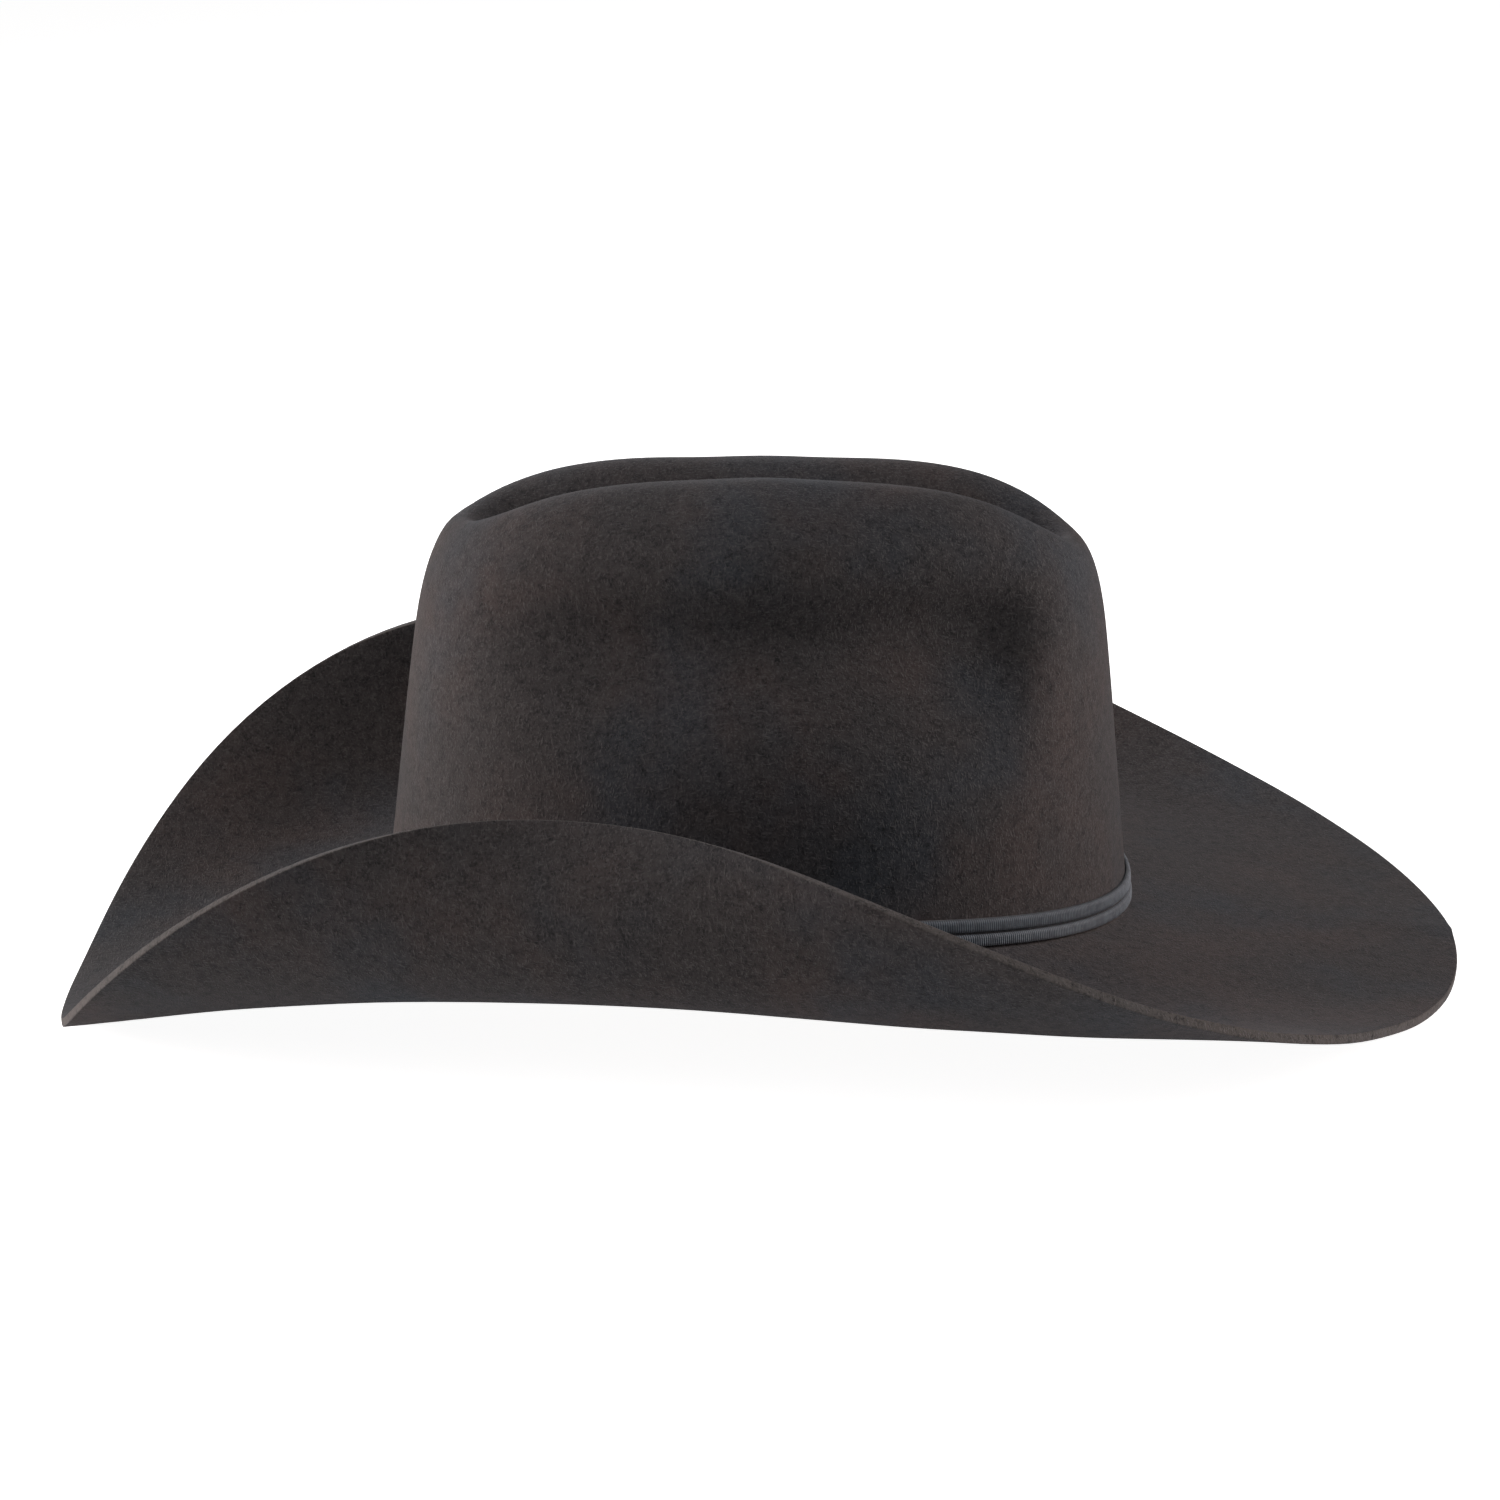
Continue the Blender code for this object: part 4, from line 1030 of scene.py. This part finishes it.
class HAT_OT_band(Operator):
    """Make the two ribbed rows of the band and the stitched line between them"""

    bl_idname = "hat.band"
    bl_label = "Band"

    def execute(self, context):
        """Rows with a rounded section and a cosine rib four points long, and a two-ply thread."""
        hat, trim = block(), context.scene.hat_trim
        lower_top, upper_low, upper_top = band_heights(trim)
        self.row(hat, trim, "band_lower_row", trim.row_low, lower_top + trim.groove_cover,
                 "hatband_lower_row")
        self.row(hat, trim, "band_upper_row", upper_low - trim.groove_cover, upper_top,
                 "hatband_upper_row")
        self.line(hat, trim, (lower_top + upper_low) / 2)
        return {"FINISHED"}

    @staticmethod
    def row(hat, trim, name, low, high, node):
        """Section: flat at the back, a flattened oval in front.  Ribs: a cosine of the way round."""
        ribs = round(hat.around() / trim.rib_pitch)
        count = POINTS_PER_RIB * ribs
        angles = hat.even_angles(count)[None, :]
        rib = 0.5 + 0.5 * np.cos(np.arange(count)[None, :] * (2 * math.pi / POINTS_PER_RIB))
        across = np.array([-1.0, -0.94, -0.72, -0.36, 0.0, 0.36, 0.72, 0.94, 1.0])[:, None]
        bulge = (1.0 - np.abs(across) ** 5) ** (1 / 2.2)
        out = trim.gap + bulge * (trim.row_thickness - trim.rib_depth * (1.0 - rib))
        height = (low + high) / 2 + across * (high - low) / 2
        front = hat.wall(angles, height, -out)
        back = hat.wall(angles, np.array([[0.8 * high + 0.2 * low], [0.2 * high + 0.8 * low]]),
                        np.full((2, 1), -trim.gap))
        piece = add_grid(hat, name, np.concatenate([front, back]), "band_rows", node)
        # Mask for painted shade: highest on the rib crests mid-row, falling to none in the valleys, at
        # the row's edges and on its back
        give_mask(piece.data, "crest", np.concatenate([rib * np.sqrt(bulge), np.zeros((2, count))]))

    @staticmethod
    def line(hat, trim, height):
        """Two strands, each a tube whose middle circles the line once for every pitch."""
        turns = round(hat.around() / trim.twist_pitch)
        count = TWIST_POINTS * turns
        angles = hat.even_angles(count)
        out = hat.outward(angles)
        path = hat.wall(angles, height, -trim.gap - trim.thread / 2 + 0.0 * angles)
        strands = []
        for start in (0.0, math.pi):
            phase = (np.arange(count) * (2 * math.pi / TWIST_POINTS) + start)[:, None]
            shift = trim.thread * STRAND_SHIFT * (np.cos(phase) * out + np.sin(phase) * UP)
            rings = tube(path + shift, out, UP, trim.thread * STRAND_RADIUS, THREAD_SIDES)
            strands.append(surface("strand", hat.at_rest(rings)))
        add_piece("band_stitched_line", joined("band_stitched_line", strands), "thread",
                  "hatband_centre_stitch")


def flat_strip(hat, middle, half_axis, along, low, high, base, thickness):
    """Strip of ribbon on the wall: both faces over a grid of along and height, thin at its edges."""
    height = low + (high - low) * RIBBON_HEIGHTS
    pillow = thickness * np.minimum(1.0, 4.0 * np.sqrt(RIBBON_HEIGHTS * (1.0 - RIBBON_HEIGHTS)))
    back = hat.beside(middle, half_axis, along, height, base)
    front = hat.beside(middle, half_axis, along, height, base + pillow)
    return np.concatenate([back, front[::-1]])


def ribbon_loop(hat, middle, half_axis, side, start, reach, low, high, base, depth, ribbon, pinch):
    """Loop of ribbon lying flat: an oval sheet wall, its width drawn in towards the knot.

    Round the loop, the way along is the cosine and the way out the sine; the inner face is the same
    oval, smaller by the ribbon.
    """
    around = evenly_round(LOOP_SIDES)[None, :]
    spread = np.array([-1.0, -0.96, -0.6, -0.2, 0.2, 0.6, 0.96, 1.0])[:, None]
    faces = []
    for inset, order in ((0.0, 1), (ribbon, -1)):
        along = start + reach / 2 - (reach / 2 - inset) * np.cos(around)
        puff = 0.85 + 0.15 * np.cos(math.pi / 2 * spread)
        out = base + depth / 2 + (depth / 2 - inset) * np.sin(around) * puff
        near_knot = pinch * (1.0 - smooth((along - start) / (0.6 * reach)))
        height = (low + high) / 2 + spread * (high - low) / 2 * (1.0 - near_knot)
        face = hat.beside(middle, half_axis, side * along, height, out)
        faces.append(face[::order])
    return np.concatenate(faces)


def knot(hat, middle, half_axis, width, low, high, base, depth):
    """Knot of ribbon: a rounded-square section from foot to top, fuller at its middle."""
    along = np.linspace(-0.5, 0.5, KNOT_COLUMNS)[None, :] * width
    around = evenly_round(KNOT_SIDES)[:, None]
    full = 1.0 - 0.35 * np.abs(2 * along / width) ** 4
    up = squared_off(np.sin(around), 0.5)
    out = squared_off(np.cos(around), 0.6)
    height = (low + high) / 2 + up * (high - low) / 2 * (0.94 + 0.06 * full)
    stand = base + depth / 2 + out * depth / 2 * full
    return hat.beside(middle, half_axis, along + 0.0 * around, height, stand)


class HAT_OT_bow(Operator):
    """Make the bow over the band's join: knot, two loops and two tails"""

    bl_idname = "hat.bow"
    bl_label = "Side bow"

    def execute(self, context):
        """All of it lies along the wall on the wearer's left."""
        hat, trim = block(), context.scene.hat_trim
        half_axis = context.scene.hat_block.half_length
        low, high = trim.row_low, band_heights(trim)[-1]
        base = 2 * trim.gap + trim.row_thickness
        start = trim.knot_width / 2 + trim.gap
        grid = knot(hat, LEFT, half_axis, trim.knot_width, low, high, base, trim.knot_depth)
        add_grid(hat, "side_bow_knot", grid, "ribbon", "bow_knot", strip=True)
        for end, side in (("front", 1.0), ("back", -1.0)):
            grid = ribbon_loop(hat, LEFT, half_axis, side, start, trim.loop_length, low, high,
                               base + trim.ribbon + trim.gap, trim.loop_depth, trim.ribbon, 0.14)
            add_grid(hat, f"side_bow_{end}_loop", grid, "ribbon", f"bow_{end}_loop")
            reach = trim.tail_length - trim.tail_slant * RIBBON_HEIGHTS
            along = side * (start + np.linspace(0.0, 1.0, TAIL_COLUMNS)[None, :] * reach)
            grid = flat_strip(hat, LEFT, half_axis, along, low, high, base, trim.ribbon)
            add_grid(hat, f"side_bow_{end}_tail", grid, "ribbon", f"bow_{end}_tail", strip=True)
        return {"FINISHED"}


class HAT_OT_sweatband(Operator):
    """Make the leather sweatband with the taped reed along its foot"""

    bl_idname = "hat.sweatband"
    bl_label = "Sweatband"

    def execute(self, context):
        """Band: two faces with rounded edges, a sewn groove near the foot and a slight give inwards."""
        hat, trim = block(), context.scene.hat_trim
        half_seam = trim.back_seam / 2 / context.scene.hat_block.half_width
        angles = np.linspace(BACK + half_seam, 3 * BACK - half_seam, SWEATBAND_COLUMNS)[None, :]
        up = np.array([0.0, 0.015, 0.05, 0.085, 0.12, 0.2, 0.35, 0.5, 0.65, 0.8, 0.9, 0.96, 0.99])
        up = up[:, None]
        height = trim.band_low + trim.band_height * up
        groove = trim.sewn_groove * np.exp(-((up - 0.05) / 0.02) ** 2)
        give = trim.leather_give * np.sin(math.pi * up) * (0.6 + 0.4 * np.sin(5 * angles + 1.3))
        edge = trim.leather * 0.5 * (1.0 - np.sqrt(np.clip(1.0 - (np.abs(2 * up - 1) ** 40), 0, 1)))
        outer = hat.wall(angles, height, trim.band_outer + edge + give)
        inner = hat.wall(angles, height, trim.band_outer + trim.leather - edge + give - groove)
        rows = np.concatenate([outer, inner[::-1]])
        add_grid(hat, "leather_sweatband", rows, "leather", "sweatband", strip=True)
        self.reed_tape(hat, trim)
        refinish("reed", "plastic")
        return {"FINISHED"}

    @staticmethod
    def reed_tape(hat, trim):
        """Tape folded round the reed: down one side, half a ring under it and up the other."""
        angles = hat.even_angles(TAPE_COLUMNS)[None, :]
        top = trim.tape_low + trim.tape_height
        far = trim.tape_inner + trim.tape
        middle, half = (trim.tape_outer + far) / 2, (far - trim.tape_outer) / 2
        bend = np.linspace(0.0, math.pi, FOLD_POINTS)
        foot = trim.tape_low + half
        inner = half - trim.tape
        section = np.array([(trim.tape_outer, top),
                            *zip(middle - half * np.cos(bend), foot - half * np.sin(bend)),
                            (far, top), (trim.tape_inner, top),
                            *zip(middle + inner * np.cos(bend), foot - inner * np.sin(bend)),
                            (trim.tape_outer + trim.tape, top)])
        rows = hat.wall(angles, section[:, 1:], section[:, :1])
        add_grid(hat, "folded_reed_tape", rows, "cotton", "reed_tape")
        count = round(hat.around() / trim.reed_stitch_pitch)
        angles = hat.even_angles(2 * count)
        points = hat.at_rest(hat.wall(angles, trim.tape_low - trim.gap - trim.thread / 2,
                                      trim.tape_outer + trim.tape + 0.0 * angles))
        down = np.tile(-UP, (count, 1))
        mesh = stitches("reed_stitches", points[0::2], points[1::2], down, trim.thread)
        add_piece("reed_stitches", mesh, "cotton", "reed_stitch")


class HAT_OT_back_seam(Operator):
    """Make the zigzag over the sweatband's seam and the small bow at its foot"""

    bl_idname = "hat.back_seam"
    bl_label = "Back seam"

    def execute(self, context):
        """Zigzag: one stitch from each corner to the next.  Bow: a knot and two flat loops."""
        hat, trim = block(), context.scene.hat_trim
        half_axis = context.scene.hat_block.half_width
        depth = trim.band_outer + trim.leather + trim.trim_play
        bow_top = trim.band_low + trim.back_bow_height
        top = trim.band_low + trim.band_height - trim.gap
        corners = np.arange(SEAM_CORNERS)
        sideways = np.where(corners % 2 == 0, 0.5, -0.5) * trim.seam_stitch_width
        height = np.linspace(bow_top + trim.thread, top - trim.thread, SEAM_CORNERS)
        line = hat.wall(BACK + sideways / half_axis, height, depth + trim.thread / 2 + 0.0 * height)
        line = hat.at_rest(line)
        out = np.tile([1.0, 0.0, 0.0], (SEAM_CORNERS - 1, 1))
        mesh = stitches("seam_stitches", line[:-1], line[1:], out, trim.thread)
        add_piece("seam_stitches", mesh, "cotton", "sweatband_seam_stitch")
        thin = 2 * trim.ribbon
        grid = knot(hat, BACK, half_axis, trim.back_bow_knot, trim.band_low, bow_top,
                    -depth - 3 * trim.ribbon, 3 * trim.ribbon)
        add_grid(hat, "small_bow_knot", grid, "ribbon", "sweatband_bow_knot", strip=True)
        for name, side in (("left", 1.0), ("right", -1.0)):
            grid = ribbon_loop(hat, BACK, half_axis, side, trim.back_bow_knot / 2 + trim.gap,
                               trim.back_bow_length, trim.band_low, bow_top, -depth - thin, thin,
                               0.0004, 0.3)
            add_grid(hat, f"small_bow_{name}_loop", grid, "ribbon", f"sweatband_bow_{name}")
        refinish("sweatband_seam_tape", "cotton")
        refinish("size_label", "paper")
        return {"FINISHED"}


class HAT_OT_lining(Operator):
    """Make the satin lining, its piping, and the clear cover of its top"""

    bl_idname = "hat.lining"
    bl_label = "Lining"

    def execute(self, context):
        """Each layer follows the crown from inside by its own depth, plus its pleats or folds."""
        hat, trim, size = block(), context.scene.hat_trim, context.scene.hat_block
        angles = evenly_round(LINING_STEPS)
        low = math.asin(trim.lining_low / size.crown_height) / (math.pi / 2)
        wall_turns = np.linspace(low, trim.lining_seam - SEAM_TURN, WALL_ROWS)
        wall = self.wall_of_lining(hat, trim, wall_turns, angles)
        side = add_grid(hat, "lining_wall", wall, "satin", "lining_side")
        top_turns = np.linspace(trim.lining_seam + SEAM_TURN, LINING_END, TOP_ROWS)
        fade = np.linspace(1, 0, TOP_ROWS)[:, None] ** 2
        folds = 0.0003 * (1 + np.sin(TOP_FOLDS * angles + 2.0))[None, :] * fade
        mesh = self.top_layer(hat, "lining_top", top_turns, trim.lining_depth + folds, trim.satin, angles)
        top = add_piece("lining_top", mesh, "satin", "lining_tip")
        cover_turns = np.linspace(trim.cover_edge, LINING_END, COVER_ROWS)
        cover_depth = trim.lining_depth + trim.satin + trim.cover_play
        cover = self.top_layer(hat, "clear_cover", cover_turns, cover_depth, trim.cover, angles)
        add_piece("clear_cover", cover, "clear_cover", "tip_protector")
        self.rings(hat, trim, angles, cover_depth)
        around = 2 * math.pi * trim.lining_mean_radius
        tall = half_surface(side) / around
        return {"FINISHED"}

    @staticmethod
    def wall_of_lining(hat, trim, turns, angles):
        """Both faces of the lining's wall.

        Pleats are a sine round the head, squared to sharpen it, that fades out behind the sweatband
        and at the seam.
        """
        pleats = (0.5 + 0.5 * np.sin(PLEATS * angles + 0.6 * np.sin(5 * angles)))[None, :] ** 2
        slow = (0.6 + 0.4 * np.sin(7 * angles + 1.0))[None, :]
        fade = smooth((turns - 0.30) / 0.12) * smooth((trim.lining_seam - turns) / 0.10)
        depth = trim.lining_depth + trim.pleat_depth * pleats * slow * fade[:, None]
        return np.concatenate([hat.layer_rows(turns, depth, angles),
                               hat.layer_rows(turns, depth + trim.satin, angles)[::-1]])

    @staticmethod
    def top_layer(hat, name, turns, depth, thickness, angles):
        """Layer under the top of the crown, closed at its centre on both faces."""
        depth = depth + np.zeros((len(turns), 1))
        outer = hat.layer_rows(turns, depth, angles)
        inner = hat.layer_rows(turns, depth + thickness, angles)
        grid = hat.at_rest(np.concatenate([outer[::-1], inner]))
        return surface(name, grid, poles=(grid[0].mean(axis=0), grid[-1].mean(axis=0)))

    @staticmethod
    def rings(hat, trim, angles, cover_depth):
        """Piping over the lining's seam, and the stitches that hold the clear cover."""
        depth = trim.lining_depth + trim.satin + trim.gap + trim.piping
        face = hat.crown_rows([trim.lining_seam], angles)[0]
        centre = hat.layer_rows([trim.lining_seam], depth, angles)[0]
        inwards = unit(centre - face)
        upwards = unit(np.cross(inwards, np.roll(centre, -1, axis=0) - np.roll(centre, 1, axis=0)))
        rings = tube(centre, inwards, upwards, trim.piping, 12)
        add_grid(hat, "lining_piping_cord", rings, "ribbon", "lining_piping")
        depth = cover_depth + trim.cover + trim.gap + trim.thread / 2
        fine = evenly_round(STITCH_STEPS)
        turn = [trim.cover_edge + SEAM_TURN]
        ring = hat.at_rest(hat.layer_rows(turn, depth, fine)[0])
        run = running_length(np.concatenate([ring, ring[:1]]))
        count = round(run[-1] / trim.cover_stitch_pitch)
        even = np.arange(2 * count) / (2 * count) * run[-1]
        at = np.interp(even, run, np.arange(STITCH_STEPS + 1)).astype(int) % STITCH_STEPS
        inwards = unit(ring - hat.at_rest(hat.crown_rows(turn, fine)[0]))
        mesh = stitches("cover_stitches", ring[at[0::2]], ring[at[1::2]], inwards[at[0::2]], trim.thread)
        add_piece("cover_stitches", mesh, "thread", "tip_protector_stitch")


def half_surface(piece):
    """Area of one face of a closed sheet."""
    areas = np.empty(len(piece.data.polygons))
    piece.data.polygons.foreach_get("area", areas)
    return float(areas.sum() / 2)


class HAT_OT_stage(Operator):
    """Set out the floor, the lights and the camera"""

    bl_idname = "hat.stage"
    bl_label = "Stage"

    def execute(self, context):
        """A pale floor that glows a little, low lights left, right and behind, one higher in front."""
        stage, scene = context.scene.hat_stage, context.scene
        self.floor(stage, scene.hat_colours.floor)
        self.softbox(stage, "left_light", -90, 17, stage.left_power, (1.0, 0.92, 0.90))
        self.softbox(stage, "left_back_light", -60, 15, stage.left_back_power, (0.85, 1.0, 1.0))
        self.softbox(stage, "right_light", 84, 15, stage.right_power, (1.0, 0.86, 0.80))
        self.softbox(stage, "back_light", 0, 15, stage.back_power, (0.97, 1.0, 0.98))
        self.softbox(stage, "front_light", 120, 45, stage.front_power, (0.86, 0.93, 1.0))
        scene.world = bpy.data.worlds.new("room")
        scene.world.use_nodes = True
        scene.world.node_tree.nodes["Background"].inputs["Strength"].default_value = 0.0
        scene.view_settings.view_transform = "Standard"
        self.camera(stage, scene)
        return {"FINISHED"}

    @staticmethod
    def floor(stage, tone):
        """Flat disc under the hat: pale, glowing, brighter to the camera, and clear from below."""
        mesh = bpy.data.meshes.new("floor")
        around = evenly_round(FLOOR_SIDES)
        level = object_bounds()[0].z - FLOOR_GAP + 0.0 * around
        rim = np.stack([FLOOR_RADIUS * np.cos(around), FLOOR_RADIUS * np.sin(around), level], axis=1)
        mesh.from_pydata(rim.tolist(), [], [list(range(FLOOR_SIDES))])
        disc = in_scene("floor", mesh)
        coat = Coat("pale_floor", Base_Color=(*tone, 1.0), Roughness=0.9, Emission_Strength=1.0)
        seen = coat.add("ShaderNodeLightPath").outputs["Is Camera Ray"]
        coat.give(coat.shader["Emission Color"],
                  coat.mix(seen, (stage.floor_glow,) * 3, (stage.floor_white,) * 3))
        below = coat.add("ShaderNodeNewGeometry").outputs["Backfacing"]
        coat.give(coat.shader["Alpha"], coat.math("SUBTRACT", 1.0, below))
        mesh.materials.append(coat.material)
        disc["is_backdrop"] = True

    @staticmethod
    def softbox(stage, name, azimuth, elevation, power, tint):
        """Square area light aimed at the crown; azimuth 0 is behind the hat, 90 on its front's side."""
        turn, rise = math.radians(azimuth), math.radians(elevation)
        out = Vector((math.sin(turn) * math.cos(rise), math.cos(turn) * math.cos(rise), math.sin(rise)))
        data = bpy.data.lights.new(name, "AREA")
        data.shape = "SQUARE"
        data.size = stage.light_width
        data.energy = power
        data.color = tint
        light = in_scene(name, data)
        light.location = LIGHTS_AIM + stage.light_reach * out
        light.rotation_euler = (-out).to_track_quat("-Z", "Y").to_euler()

    @staticmethod
    def camera(stage, scene):
        """Camera at its place, aimed, and leaned by the same angle as the hat."""
        data = bpy.data.cameras.new("camera")
        data.lens = stage.lens
        data.sensor_width = 36.0
        camera = in_scene("camera", data)
        back = (Vector(stage.camera_place) - Vector(stage.camera_aim)).normalized()
        lean = Matrix.Rotation(stage.camera_lean, 3, "Y") @ Vector((0.0, 0.0, 1.0))
        right = lean.cross(back).normalized()
        upright = back.cross(right)
        turn = Matrix((right, upright, back)).transposed()
        camera.matrix_world = Matrix.Translation(stage.camera_place) @ turn.to_4x4()
        scene.camera = camera


class HAT_PT_sidebar(Panel):
    """Sidebar tab that lists the hat's pieces and their settings"""

    bl_idname = "HAT_PT_sidebar"
    bl_label = "Western Felt Hat"
    bl_space_type = "VIEW_3D"
    bl_region_type = "UI"
    bl_category = "Hat"

    def draw(self, context):
        """One button for each operator, then the settings by group."""
        for operator in OPERATORS:
            self.layout.operator(operator.bl_idname)
        for group in (context.scene.hat_block, context.scene.hat_trim, context.scene.hat_colours,
                      context.scene.hat_stage):
            box = self.layout.box()
            for name in group.__annotations__:
                box.prop(group, name)


GROUPS = {"hat_block": HatBlockSizes, "hat_trim": HatTrimSizes, "hat_colours": HatColours,
          "hat_stage": HatStageSettings}
OPERATORS = (HAT_OT_felt, HAT_OT_band, HAT_OT_bow, HAT_OT_sweatband, HAT_OT_back_seam, HAT_OT_lining,
             HAT_OT_stage)


def register():
    """Register the settings, the operators and the panel."""
    for name, group in GROUPS.items():
        bpy.utils.register_class(group)
        setattr(bpy.types.Scene, name, PointerProperty(type=group))
    for kind in (*OPERATORS, HAT_PT_sidebar):
        bpy.utils.register_class(kind)


def unregister():
    """Take them all out again."""
    for kind in (HAT_PT_sidebar, *reversed(OPERATORS)):
        bpy.utils.unregister_class(kind)
    for name, group in reversed(GROUPS.items()):
        delattr(bpy.types.Scene, name)
        bpy.utils.unregister_class(group)


def main():
    """Make every piece and the stage."""
    register()
    bpy.ops.hat.felt()
    bpy.ops.hat.band()
    bpy.ops.hat.bow()
    bpy.ops.hat.sweatband()
    bpy.ops.hat.back_seam()
    bpy.ops.hat.lining()
    bpy.ops.hat.stage()


if __name__ == "__main__":
    main()
